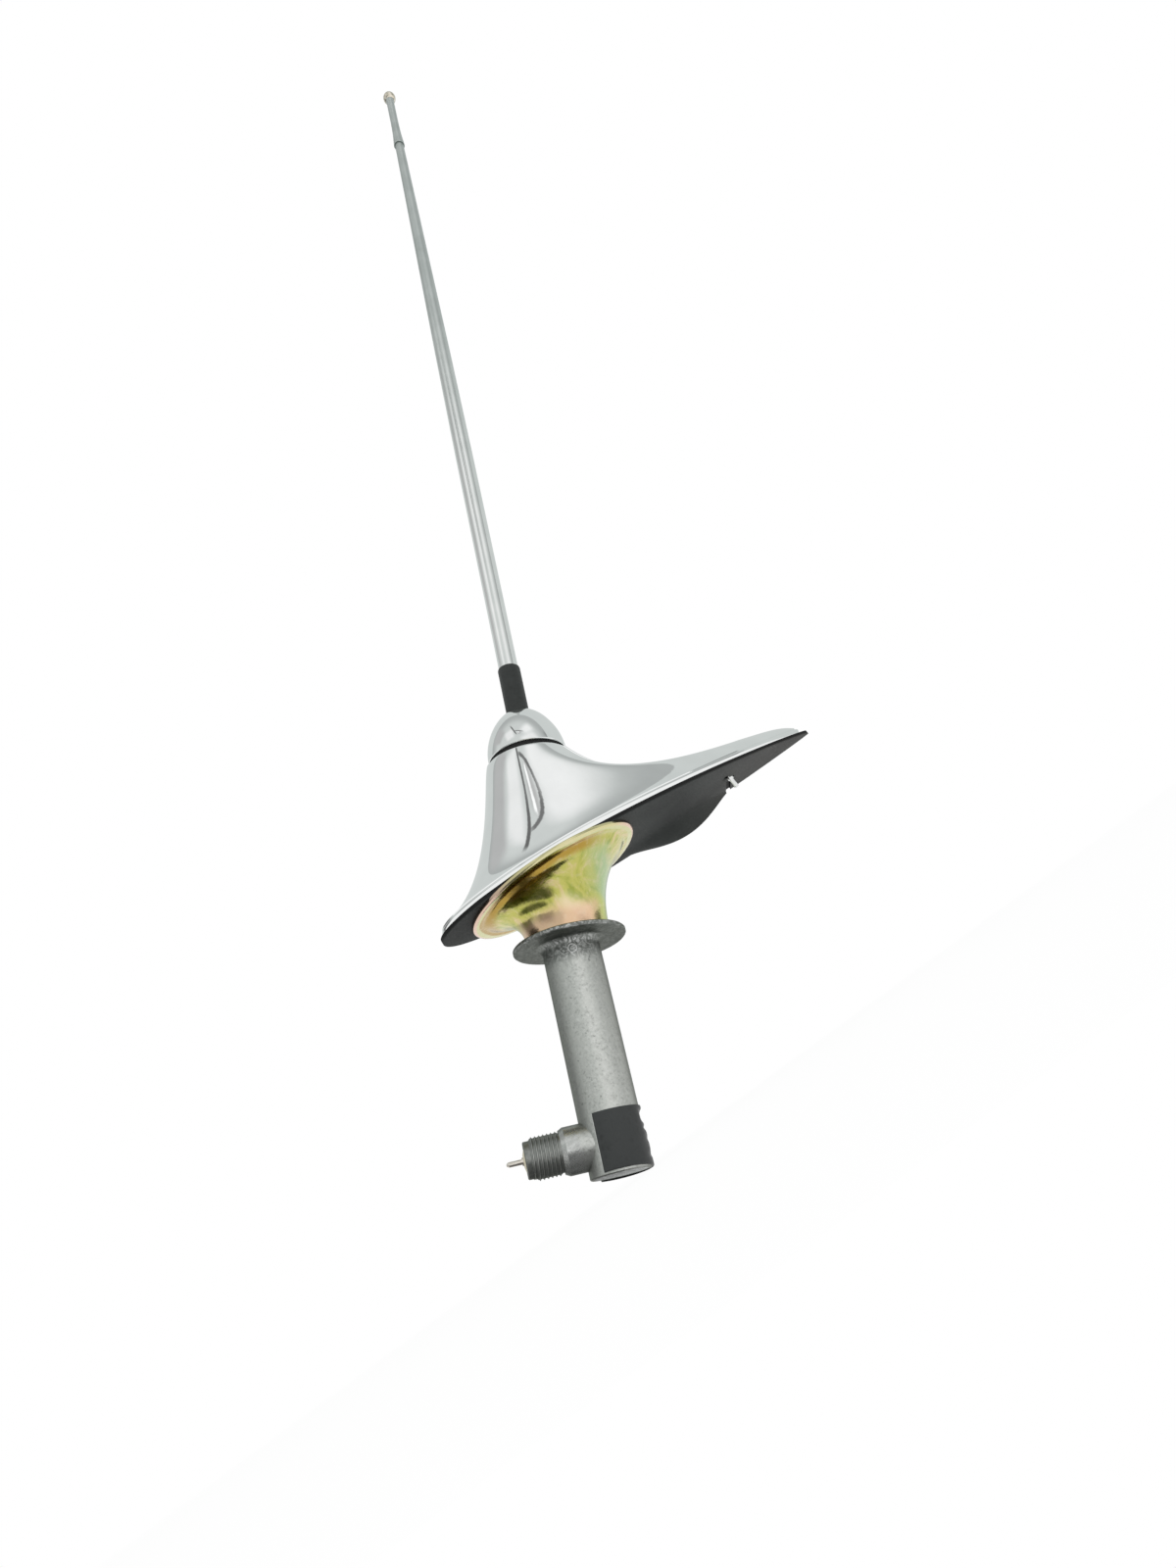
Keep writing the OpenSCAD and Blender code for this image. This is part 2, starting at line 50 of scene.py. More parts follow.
LEAN = radians(21.2)
TILT = radians(0.8)
PIVOT = 66.0
CONNECTOR_S = -85.8
CONNECTOR_AZ = radians(175.5)
AXIS = np.array([sin(LEAN), 0.0, cos(LEAN)])
ACROSS = np.array([cos(LEAN), 0.0, -sin(LEAN)])
SIDE = np.array([0.0, 1.0, 0.0])
MAST = np.array([sin(LEAN + TILT), 0.0, cos(LEAN + TILT)])
MAST_ACROSS = np.array([cos(LEAN + TILT), 0.0, -sin(LEAN + TILT)])
OUT = cos(CONNECTOR_AZ) * ACROSS + sin(CONNECTOR_AZ) * SIDE

# Each frame is an origin with two cross directions and an axis
BODY_FRAME = (np.zeros(3), ACROSS, SIDE, AXIS)
MAST_FRAME = (AXIS * PIVOT - MAST * PIVOT, MAST_ACROSS, SIDE, MAST)
CONNECTOR_FRAME = (AXIS * CONNECTOR_S, np.cross(OUT, AXIS), AXIS, OUT)


def upright_frame(x, degrees):
    """A frame that stands at x on the plane of the base, turned about its upright axis."""
    c, s = cos(radians(degrees)), sin(radians(degrees))
    directions = ([c, s, 0.0], [-s, c, 0.0], [0, 0, 1.0])
    return (np.array([x, 0.0, 0.0]), *(np.array(direction) for direction in directions))


def place(where, x, y, z):
    """Turns positions in a frame into points of the object."""
    origin, ex, ey, ez = where
    x, y, z = (np.asarray(v, float)[..., None] for v in (x, y, z))
    return origin + x * ex + y * ey + z * ez


def circle(where, radius, s, around):
    a = np.linspace(0, 2 * np.pi, around, endpoint=False)
    return place(where, radius * np.cos(a), radius * np.sin(a), np.full(around, float(s)))


def on_tube(radius, degrees, s):
    """Points round the body's tube, with their angle counted from the connector."""
    a = CONNECTOR_AZ + radians(degrees)
    return place(BODY_FRAME, radius * cos(a), radius * sin(a), s)


# Making of pieces


def new_object(name, data):
    obj = bpy.data.objects.new(name, data)
    bpy.context.scene.collection.objects.link(obj)
    return obj


def raw_object(name, points, faces):
    """Makes an object from points in millimetres, such as a cutter or a piece to be cut."""
    data = bpy.data.meshes.new(name)
    data.from_pydata([tuple(p) for p in np.asarray(points, float) / 1000], [], faces)
    data.update()
    return new_object(name, data)


def finish_piece(obj, body, material, stands_for, sharp):
    """Dresses a piece, lets it ride on a body and hides the nodes it stands for."""
    data = obj.data
    data.materials.clear()
    data.materials.append(material)
    data.shade_smooth()
    data.set_sharp_from_angle(angle=radians(sharp))
    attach(obj, body)
    if stands_for:
        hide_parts(*stands_for)


def mesh(name, shape, body, material, stands_for, sharp):
    """Makes a whole piece from its shape, which is a pair of points and faces."""
    obj = raw_object(name, *shape)
    obj.data.validate()
    obj.data.update()
    finish_piece(obj, body, material, stands_for, sharp)


def grid_faces(rings, around, wrap_rings=False):
    """Quads between rings of points. Each ring is closed, and so is their row if it wraps."""
    faces = []
    for j in range(rings if wrap_rings else rings - 1):
        k = (j + 1) % rings
        for i in range(around):
            n = (i + 1) % around
            faces.append((j * around + i, j * around + n, k * around + n, k * around + i))
    return faces


def capped_faces(rings, around):
    """Quads between rings of points, with one face over the first and one over the last."""
    last = (rings - 1) * around
    caps = [tuple(range(around))[::-1], tuple(range(last, last + around))]
    return grid_faces(rings, around) + caps


def ring_body(rings):
    """A closed ring-shaped solid from rings of equal point count."""
    rings = np.asarray(rings)
    return rings.reshape(-1, 3), grid_faces(rings.shape[0], rings.shape[1], wrap_rings=True)


def lathe(where, profile, around):
    """A turned solid. Its profile of radius and s runs from the axis or a bore and back."""
    points = np.concatenate([circle(where, r, s, around) for r, s in profile])
    closed = profile[0][0] > 0 and profile[-1][0] > 0
    return points, grid_faces(len(profile), around, wrap_rings=closed)


def bezier(t, low, low_handle, high_handle, high):
    """Points at t on cubic curves from low to high."""
    near = low * (1 - t) ** 3 + 3 * low_handle * t * (1 - t) ** 2
    return near + 3 * high_handle * t * t * (1 - t) + high * t**3


def box_cutter(where, low, high):
    points = [place(where, *corner) for corner in product(*zip(low, high))]
    faces = [(0, 1, 3, 2), (4, 6, 7, 5), (0, 4, 5, 1), (2, 3, 7, 6), (0, 2, 6, 4), (1, 5, 7, 3)]
    return raw_object("cutter", points, faces)


def rod_cutter(where, radius, low, high):
    around = 48
    points = np.concatenate([circle(where, radius, s, around) for s in (low, high)])
    return raw_object("cutter", points, capped_faces(2, around))


def apply_cut(obj, cutters):
    """Cuts boxes or cylinders out of a piece for good, and deletes them."""
    for cutter in cutters:
        m = obj.modifiers.new("cut", "BOOLEAN")
        m.operation = "DIFFERENCE"
        m.solver = "EXACT"
        m.object = cutter
    bpy.context.view_layer.update()
    graph = bpy.context.evaluated_depsgraph_get()
    data = bpy.data.meshes.new_from_object(obj.evaluated_get(graph))
    obj.modifiers.clear()
    old = obj.data
    obj.data = data
    bpy.data.meshes.remove(old)
    for cutter in cutters:
        bpy.data.objects.remove(cutter)


# Nodes of materials

# The colour sockets of a Mix node, which shares their names with its other kinds
MIX_A, MIX_B, MIX_RESULT = 6, 7, 2


def new_material(name):
    """Gives a new material, its tree and its shader, and object coordinates in metres."""
    material = bpy.data.materials.new(name)
    material.use_nodes = True
    tree = material.node_tree
    where = add(tree, "ShaderNodeTexCoord").outputs["Object"]
    return material, tree, tree.nodes["Principled BSDF"], where


def add(tree, kind, inputs=None, **props):
    """Adds a node, whose inputs are sockets to link or values to set."""
    n = tree.nodes.new(kind)
    for key, value in props.items():
        setattr(n, key, value)
    for key, value in (inputs or {}).items():
        if isinstance(value, bpy.types.NodeSocket):
            tree.links.new(value, n.inputs[key])
        else:
            n.inputs[key].default_value = value
    return n


def stretch(tree, vector, scale, turn=(0, 0, 0)):
    inputs = {"Vector": vector, "Rotation": turn, "Scale": scale}
    return add(tree, "ShaderNodeMapping", inputs).outputs["Vector"]


def noise(tree, vector, scale, detail=3.0, rough=0.55, distortion=0.0):
    n = add(tree, "ShaderNodeTexNoise", {
        "Vector": vector, "Scale": scale, "Detail": detail, "Roughness": rough,
        "Distortion": distortion,
    })
    return n.outputs["Fac"]


def ramp(tree, fac, stops):
    """A colour that eases through stops, each a position and a colour."""
    n = add(tree, "ShaderNodeValToRGB", {"Fac": fac})
    n.color_ramp.interpolation = "EASE"
    while len(n.color_ramp.elements) < len(stops):
        n.color_ramp.elements.new(0.5)
    for element, (position, color) in zip(n.color_ramp.elements, stops):
        element.position = position
        element.color = (*color, 1)
    return n.outputs["Color"]


def span(tree, value, low, high, to_low=0.0, to_high=1.0, smooth=True):
    """Goes from to_low to to_high while the value goes from low to high, and stops there."""
    n = add(tree, "ShaderNodeMapRange", {
        "Value": value, "From Min": low, "From Max": high, "To Min": to_low, "To Max": to_high,
    }, interpolation_type="SMOOTHSTEP" if smooth else "LINEAR")
    return n.outputs["Result"]


def calc(tree, op, a, b=0.0):
    return add(tree, "ShaderNodeMath", {0: a, 1: b}, operation=op).outputs[0]


def times(tree, a, b):
    return calc(tree, "MULTIPLY", a, b)


def plus(tree, a, b):
    return calc(tree, "ADD", a, b)


def vector_calc(tree, op, *vectors):
    inputs = dict(enumerate(vectors))
    return add(tree, "ShaderNodeVectorMath", inputs, operation=op).outputs


def dot(tree, vector, direction):
    return vector_calc(tree, "DOT_PRODUCT", vector, tuple(direction))["Value"]


def distance(tree, vector, point):
    return vector_calc(tree, "DISTANCE", vector, point)["Value"]


def length(tree, vector):
    return vector_calc(tree, "LENGTH", vector)["Value"]


def mix(tree, fac, a, b):
    """Goes from colour a to colour b, each a socket or three numbers."""
    n = add(tree, "ShaderNodeMix", {0: fac}, data_type="RGBA")
    for index, color in ((MIX_A, a), (MIX_B, b)):
        if isinstance(color, bpy.types.NodeSocket):
            tree.links.new(color, n.inputs[index])
        else:
            n.inputs[index].default_value = (*color, 1)
    return n.outputs[MIX_RESULT]


def coat(tree, shader, color, roughness, plain):
    """Links a shader's colour and roughness, and sets what is the same all over."""
    tree.links.new(color, shader.inputs["Base Color"])
    tree.links.new(roughness, shader.inputs["Roughness"])
    for socket, value in plain.items():
        shader.inputs[socket].default_value = value


def bump(tree, shader, height, distance_m, strength):
    inputs = {"Height": height, "Distance": distance_m, "Strength": strength}
    normal = add(tree, "ShaderNodeBump", inputs).outputs["Normal"]
    tree.links.new(normal, shader.inputs["Normal"])


# Materials. A zone is a pair of numbers in metres, from where it starts to where it is full,
# along one direction or off a centre.

ALL_METAL = {"Metallic": 1.0}
MATT = {"Specular IOR Level": 0.35}
CHROME_TINT, CHROME_SHADE, CHROME_DULL = (0.87, 0.885, 0.88), 0.955, 0.022
DULL_MAST = (0.12, 0.33)
RUBBER_GRAIN, PLASTIC_GRAIN, WRAP_GRAIN, RUBBER_DULL = 1400, 700, 500, 0.7

BOSS_LEVEL, BOSS_START, BOSS_END = (-0.070, -0.076), (0.0095, 0.0115), (0.0165, 0.0160)
BARREL_START, CREST_START = (0.0160, 0.0166), (0.00602, 0.00622)
SWIRL_START = (-0.0327, -0.0280)
RING_MARK, RING_MARK_R, RING_MARK_FADE = (-0.0111, -0.0094, -0.0252), 0.00135, (0.0001, 0.0003)
# Shade of the casting towards grazing angles, in two steps: from, to, and a share at each. It
# depends on the angle of view, so it moves with the camera and the exported model may lose it.
GRAZING_SHADE = ((0.01, 0.27, 0.0, 0.42), (0.30, 0.85, 0.0, 0.28))

# Tints of the cup: a zone across, a zone along, a strength and a colour
CUP_TINTS = (
    ((0.004, 0.013), (0.004, -0.004), 0.75, (0.36, 0.53, 0.33)),
    ((0.004, 0.012), (-0.012, -0.0165), 0.8, (0.52, 0.56, 0.12)),
    ((0.010, 0.004), (-0.0135, -0.0185), 0.85, (0.84, 0.56, 0.40)),
)
HIGHLIGHT_SPOT, HIGHLIGHT_START = (-0.004, -0.0085, -0.0115), (0.0075, 0.0025)
BROWN_REFLECTION_START, BROWN_REFLECTION_ACROSS = (0.0235, 0.0262), (0.016, 0.004)
CUP_CENTRE, ROLL_START, LIP_START = (-0.0006, 0, 0), (0.0293, 0.0300), (0.0308, 0.0313)
LIP_COLOR_ACROSS = (0.008, 0.027)

PAD_TAIL_LIGHTENING, PAD_TOP_SHADE = (0.045, 0.095), (0.0001, 0.0006)


def chrome(name):
    m, t, s, where = new_material(name)
    cloud = noise(t, where, 90, 3)
    fine = noise(t, where, 900, 2)
    shade = tuple(CHROME_SHADE * c for c in CHROME_TINT)
    color = ramp(t, cloud, [(0.3, shade), (0.7, CHROME_TINT)])
    smear = noise(t, where, 260, 4)
    coat(t, s, color, span(t, smear, 0.3, 0.75, CHROME_DULL * 0.6, CHROME_DULL * 1.5), ALL_METAL)
    bump(t, s, plus(t, times(t, cloud, 0.7), times(t, fine, 0.06)), 0.00012, 0.25)
    return m


def mast_steel(name):
    """Polished at the foot of the mast and dull higher up, with fine streaks along it."""
    m, t, s, where = new_material(name)
    streak = noise(t, stretch(t, where, (1, 1, 0.02), (0, LEAN + TILT, 0)), 2200, 3)
    dulling = span(t, dot(t, where, MAST), *DULL_MAST)
    cloud = noise(t, where, 70, 4)
    polished = ramp(t, cloud, [(0.3, (0.80, 0.82, 0.81)), (0.7, (0.88, 0.89, 0.88))])
    stain = noise(t, where, 120, 4)
    dulled = ramp(t, stain, [(0.3, (0.53, 0.57, 0.555)), (0.7, (0.60, 0.64, 0.625))])
    roughness = plus(t, times(t, dulling, 0.38), times(t, streak, 0.08))
    coat(t, s, mix(t, dulling, polished, dulled), roughness, ALL_METAL)
    bump(t, s, streak, 0.00002, 0.15)
    return m


def cast_zinc(name):
    """Grainy casting: swirls under the flange, a scraped boss with a painted highlight, and a
    thread darkened by painted shade, with painted highlights on its crests.
    """
    m, t, s, where = new_material(name)
    along = dot(t, where, AXIS)
    origin = AXIS * CONNECTOR_S / 1000
    reach = calc(t, "SUBTRACT", dot(t, where, OUT), float(np.dot(origin, OUT)))
    low = span(t, along, *BOSS_LEVEL)
    boss = times(t, times(t, span(t, reach, *BOSS_START), span(t, reach, *BOSS_END)), low)
    barrel = times(t, span(t, reach, *BARREL_START), low)
    rough_zone = span(t, along, *SWIRL_START)

    grain = noise(t, where, 2600, 3, 0.7)
    speck = noise(t, where, 1100, 5, 0.7)
    color = ramp(t, speck, [
        (0.28, (0.34, 0.35, 0.33)), (0.5, (0.62, 0.635, 0.605)), (0.68, (0.75, 0.76, 0.73)),
    ])
    blotch = noise(t, stretch(t, where, (1, 1, 0.5), (0, LEAN, 0)), 230, 4, 0.6)
    color = mix(t, span(t, blotch, 0.35, 0.7, 0.0, 0.6), color, (0.67, 0.685, 0.65))
    pits = span(t, noise(t, where, 640, 2, 0.4), 0.70, 0.76, 0, 0.55)
    color = mix(t, pits, color, (0.14, 0.15, 0.145))
    swirl = noise(t, where, 420, 5, 0.65, 2.4)
    swirls = ramp(t, swirl, [
        (0.36, (0.05, 0.055, 0.052)), (0.5, (0.19, 0.20, 0.19)), (0.58, (0.55, 0.56, 0.55)),
    ])
    color = mix(t, times(t, rough_zone, 0.85), color, swirls)
    # The boss is smoother, and its lighter colour is partly a painted highlight on top of its
    # scraped look.
    scrape = noise(t, stretch(t, where, (0.4, 1, 1)), 500, 4)
    scraped_and_highlight = ramp(t, scrape, [(0.35, (0.50, 0.51, 0.50)), (0.6, (0.70, 0.71, 0.70))])
    color = mix(t, times(t, boss, 0.7), color, scraped_and_highlight)
    # The barrel is darkened as painted shade between the turns of its thread.
    groove_shade = ramp(t, speck, [(0.3, (0.19, 0.20, 0.19)), (0.7, (0.30, 0.31, 0.295))])
    color = mix(t, times(t, barrel, 0.85), color, groove_shade)

    radial = vector_calc(t, "SUBTRACT", where, tuple(origin))["Vector"]
    radial = length(t, vector_calc(t, "CROSS_PRODUCT", radial, tuple(OUT))["Vector"])
    # The crests of the thread are lightened as a painted highlight.
    crest_highlight = times(t, span(t, radial, *CREST_START), barrel)
    color = mix(t, times(t, crest_highlight, 0.8), color, (0.74, 0.75, 0.72))
    off_ring = calc(t, "SUBTRACT", distance(t, where, RING_MARK), RING_MARK_R)
    mark = span(t, calc(t, "ABSOLUTE", off_ring), *RING_MARK_FADE, 1, 0)
    color = mix(t, times(t, mark, 0.7), color, (0.80, 0.81, 0.80))
    facing = add(t, "ShaderNodeLayerWeight", {"Blend": 0.5}).outputs["Facing"]
    shade = plus(t, *(span(t, facing, *step) for step in GRAZING_SHADE))
    color = mix(t, shade, color, (0.19, 0.20, 0.185))

    roughness = calc(t, "SUBTRACT", span(t, grain, 0.3, 0.7, 0.27, 0.42), times(t, boss, 0.10))
    coat(t, s, color, roughness, {"Metallic": 0.92, "Specular Tint": (0.4, 0.41, 0.39, 1)})
    height = plus(t, times(t, grain, 0.35), times(t, speck, 0.8))
    height = plus(t, height, times(t, times(t, swirl, rough_zone), 2.2))
    height = plus(t, height, times(t, mark, 0.8))
    bump(t, s, height, 0.00016, 0.5)
    return m


def yellow_zinc(name):
    """Yellow passivation that turns teal, lime and pink, with a brown band of painted dark
    reflection under the lip, a painted highlight on the flare, and a lip of its own colour.
    """
    m, t, s, where = new_material(name)
    warp = noise(t, where, 55, 3, 0.5)
    wave = span(t, warp, 0.3, 0.7, -0.003, 0.003, smooth=False)
    flat = vector_calc(t, "MULTIPLY", where, (1, 1, 0))["Vector"]
    radius = distance(t, flat, CUP_CENTRE)
    waved_radius = plus(t, radius, times(t, wave, 0.25))
    along = plus(t, dot(t, where, AXIS), wave)
    across = plus(t, dot(t, where, ACROSS), wave)

    veil = noise(t, stretch(t, where, (1, 1, 0.35), (0, LEAN, 0)), 150, 4, 0.6, 1.2)
    color = ramp(t, veil, [
        (0.32, (0.34, 0.38, 0.07)), (0.5, (0.54, 0.52, 0.14)), (0.66, (0.68, 0.56, 0.27)),
    ])
    for zone_across, zone_along, strength, tint in CUP_TINTS:
        zone = times(t, span(t, across, *zone_across), span(t, along, *zone_along))
        color = mix(t, times(t, zone, strength), color, tint)
    # A cream-white spot on the flare, painted as a highlight.
    off_highlight = plus(t, distance(t, where, HIGHLIGHT_SPOT), times(t, wave, 0.8))
    glow = span(t, off_highlight, *HIGHLIGHT_START)
    color = mix(t, times(t, glow, 0.9), color, (0.96, 0.87, 0.60))
    # A brown band under the lip, painted as a dark reflection.
    brown_reflection = times(t, span(t, waved_radius, *BROWN_REFLECTION_START), span(t, across, *BROWN_REFLECTION_ACROSS))
    color = mix(t, times(t, brown_reflection, 0.9), color, (0.44, 0.27, 0.05))
    color = mix(t, span(t, waved_radius, *ROLL_START), color, (0.62, 0.62, 0.30))
    off_middle = calc(t, "ABSOLUTE", add(t, "ShaderNodeSeparateXYZ", {0: where}).outputs["X"])
    lip = ramp(t, span(t, off_middle, *LIP_COLOR_ACROSS, smooth=False), [
        (0.0, (0.72, 0.67, 0.38)), (0.5, (0.70, 0.64, 0.34)), (1.0, (0.76, 0.54, 0.42)),
    ])
    color = mix(t, span(t, radius, *LIP_START), color, lip)
    fine = noise(t, where, 420, 3)
    color = mix(t, span(t, fine, 0.52, 0.72, 0, 0.25), color, (0.84, 0.72, 0.52))

    coat(t, s, color, span(t, veil, 0.3, 0.7, 0.13, 0.24), ALL_METAL)
    dents = plus(t, times(t, noise(t, where, 110, 3), 2.5), noise(t, where, 700, 3))
    bump(t, s, dents, 0.00010, 0.4)
    return m


def polymer_noises(t, where, grain):
    """A cloudy noise, a fine one, and the blend of both that the colours follow."""
    cloud = noise(t, where, 45, 4)
    fine = noise(t, where, grain, 3, 0.65)
    return cloud, fine, plus(t, times(t, cloud, 0.6), times(t, fine, 0.4))


def polymer(name, dark, pale, grain, dull):
    """Rubber or plastic between two colours, with the scale of its grain and its dullness."""
    m, t, s, where = new_material(name)
    _, fine, blend = polymer_noises(t, where, grain)
    color = ramp(t, blend, [(0.38, dark), (0.62, pale)])
    coat(t, s, color, span(t, fine, 0.3, 0.7, dull - 0.08, dull + 0.1), MATT)
    bump(t, s, fine, 0.00012, 0.4)
    return m


def pad_rubber(name):
    """Rubber that is lighter towards the tail, with painted shade along its top, under the base."""
    m, t, s, where = new_material(name)
    parts = add(t, "ShaderNodeSeparateXYZ", {0: where}).outputs
    cloud, fine, blend = polymer_noises(t, where, RUBBER_GRAIN)
    near = ramp(t, blend, [(0.38, (0.014, 0.017, 0.016)), (0.62, (0.034, 0.039, 0.037))])
    far = ramp(t, blend, [(0.38, (0.050, 0.049, 0.047)), (0.62, (0.085, 0.084, 0.081))])
    # Lighter towards the tail.
    color = mix(t, span(t, parts["X"], *PAD_TAIL_LIGHTENING), near, far)
    # The top of the pad, under the base, is painted black as shade.
    color = mix(t, span(t, parts["Z"], *PAD_TOP_SHADE), color, (0.003, 0.003, 0.003))
    coat(t, s, color, span(t, fine, 0.3, 0.7, 0.58, 0.78), MATT)
    bump(t, s, plus(t, fine, times(t, cloud, 3.0)), 0.00012, 0.4)
    return m


def metal(name, dark, pale, dull, grain=600, metallic=1.0):
    """Plain metal between two colours, with its dullness and the scale of its grain."""
    m, t, s, where = new_material(name)
    fine = noise(t, where, grain, 4, 0.6)
    color = ramp(t, fine, [(0.35, dark), (0.65, pale)])
    smear = noise(t, where, grain * 1.7, 3)
    roughness = span(t, smear, 0.3, 0.7, dull * 0.7, dull * 1.3)
    coat(t, s, color, roughness, {"Metallic": metallic})
    bump(t, s, fine, 0.00004, 0.4)
    return m


CHROME = chrome("chrome_plate")
MAST_STEEL = mast_steel("mast_steel")
ZINC = cast_zinc("cast_zinc")
CUP = yellow_zinc("yellow_zinc")
PAD = pad_rubber("pad_rubber")
SEAL = polymer(
    "seal_rubber", (0.006, 0.006, 0.006), (0.016, 0.016, 0.016), RUBBER_GRAIN, RUBBER_DULL)
# Lighter rubber for the torn lip, as a painted highlight.
TORN_LIP_HIGHLIGHT = polymer("torn_rubber_highlight", (0.10, 0.10, 0.098), (0.20, 0.20, 0.195), RUBBER_GRAIN, RUBBER_DULL)
WRAP = polymer("wrap_black", (0.014, 0.016, 0.016), (0.040, 0.043, 0.043), WRAP_GRAIN, 0.42)
SLEEVE = polymer("sleeve_plastic", (0.016, 0.018, 0.017), (0.030, 0.033, 0.032), PLASTIC_GRAIN, 0.5)
NATURAL = polymer("natural_plastic", (0.66, 0.60, 0.45), (0.80, 0.74, 0.58), PLASTIC_GRAIN, 0.4)
BRASS = metal("brass", (0.66, 0.48, 0.22), (0.82, 0.63, 0.34), 0.25)
COPPER = metal("copper", (0.72, 0.36, 0.22), (0.88, 0.52, 0.36), 0.25)
NICKEL = metal("nickel", (0.74, 0.68, 0.60), (0.86, 0.81, 0.74), 0.16)
BALL = metal("ball_nickel", (0.66, 0.60, 0.49), (0.84, 0.79, 0.69), 0.11, grain=260)
STUD = metal("stud_chrome", (0.72, 0.73, 0.72), (0.84, 0.85, 0.84), 0.08)
LINER = metal("liner_edge", (0.60, 0.61, 0.58), (0.86, 0.87, 0.84), 0.3, grain=300)
DISC = metal("disc_grey", (0.26, 0.28, 0.27), (0.40, 0.42, 0.41), 0.45, grain=500, metallic=0.7)

for node_name, material in (
    ("body_casting", ZINC), ("support_cup", CUP), ("rubber_pad", PAD), ("teardrop_base", CHROME),
    ("nut_seal", SEAL), ("cap_nut", CHROME), ("insulator_sleeve", SLEEVE), ("sleeve_seal", SEAL),
    ("upper_insulator", NATURAL), ("lower_insulator", NATURAL), ("mast_tube", MAST_STEEL),
    ("mast_foot", BRASS), ("guide_bush", BRASS), ("lead_wire", COPPER), ("contact_pin", NICKEL),
    ("connector_insulator", NATURAL), ("window_cover", WRAP), ("end_disc", DISC),
    ("sliding_rod", MAST_STEEL), ("rod_stop", BRASS), ("tip_cap", MAST_STEEL), ("tip_ball", BALL),
):
    data = nodes[node_name].data
    data.materials.clear()
    data.materials.append(material)

# Teardrop base: a rim up to a crease, flanks that sweep up to a round seam, and the inside

HALF_W, WIDE_X, NOSE, TAIL = 25.0, 10.0, 41.9, 113.0
# The tail's outline is part pointed and part round, and an inset moves its end further in
TAIL_ROUND, TAIL_POWER, TAIL_INSET = 0.15, 1.65, 1.8
# Heights of the rim's foot and of the crease, its rise at the tail and its inset
FOOT, CREASE, RISE, CREASE_IN = 1.5, 3.9, 0.6, 0.5
SEAM_S, SEAM_R, SEAL_S = 47.0, 14.4, 45.9
# The seam's dip: its depth, its middle and half its width in degrees, and its fullness
DIP, DIP_AT, DIP_HALF, DIP_POWER = 1.75, 256.0, 76.0, 0.4
WALL, HOLE_R, SEAT_R, SEAT_DEPTH = 2.2, 9.1, 13.2, 0.8
# Handles of the flanks' curves: down and out from the seam, then in and up from the crease
TAIL_SWING = np.array([38.6, 29.7, 0.194, 14.6])
FLANK_SWING = np.array([14.0, 3.0, 0.18, 6.0])
NOSE_SWING = np.array([1.5, 3.2, 0.485, 5.1])
# Insets and heights up the rim
RIM = (
    (0.62, FOOT), (0.44, FOOT + 0.1), (0.34, FOOT + 0.25), (0.25, 2.0), (0.12, 2.4),
    (0.03, 2.75), (0.0, 2.95), (0.05, 3.15), (0.2, 3.3), (0.46, 3.4), (0.58, 3.52),
)
AROUND = 320
turn = np.linspace(0, 2 * np.pi, AROUND, endpoint=False)


def tail_share(u):
    pointed = 1 - u**TAIL_POWER
    return (1 - TAIL_ROUND) * pointed + TAIL_ROUND * np.sqrt(np.maximum(0, 1 - u * u))


def outline(a, inset, tail, z):
    """The teardrop seen from above, at height z."""
    c, s = np.cos(a), np.sin(a)
    half = HALF_W - inset
    to_tail, to_nose = tail - inset * TAIL_INSET - WIDE_X, NOSE - inset + WIDE_X
    x = WIDE_X + np.where(c >= 0, to_tail, to_nose) * c
    y = np.where(c >= 0, np.sign(s) * half * tail_share(np.clip(c, 0, 1)), half * s)
    return np.stack([x, y, np.zeros_like(x) + z], -1)


def crease_at(a):
    return CREASE + RISE * np.maximum(0, np.cos(a)) ** 4


def top_ring(a, r, s):
    """A ring round the body's axis, whose s may differ from point to point."""
    s = np.zeros_like(a) + s
    return s[:, None] * AXIS + r * (np.cos(a)[:, None] * ACROSS + np.sin(a)[:, None] * SIDE)


def dip_at(a):
    off = np.abs((np.degrees(a) - DIP_AT + 540) % 360 - 180)
    bow = np.cos(np.radians(np.minimum(89.9, 90 * off / DIP_HALF)))
    return np.where(off < DIP_HALF, DIP * bow**DIP_POWER, 0)


def side_ring(a, t, inset, z, r, s):
    """A ring at t on the flanks, between an outline at height z and a circle at s."""
    c, n = np.cos(a)[:, None], np.sin(a)[:, None]
    end = np.where(c >= 0, TAIL_SWING, NOSE_SWING)
    swing = FLANK_SWING * (1 - c * c) + end * c * c
    top = top_ring(a, r, s - dip_at(a))
    low = outline(a, inset, TAIL, z)
    high_handle = top - AXIS * swing[:, :1] + (c * ACROSS + n * SIDE) * swing[:, 1:2]
    middle = np.stack([np.full_like(a, WIDE_X), np.zeros_like(a), np.zeros_like(a) + z], -1)
    low_handle = low * (1 - swing[:, 2:3]) + middle * swing[:, 2:3]
    low_handle[:, 2] += swing[:, 3]
    return bezier(t, low, low_handle, high_handle, top)


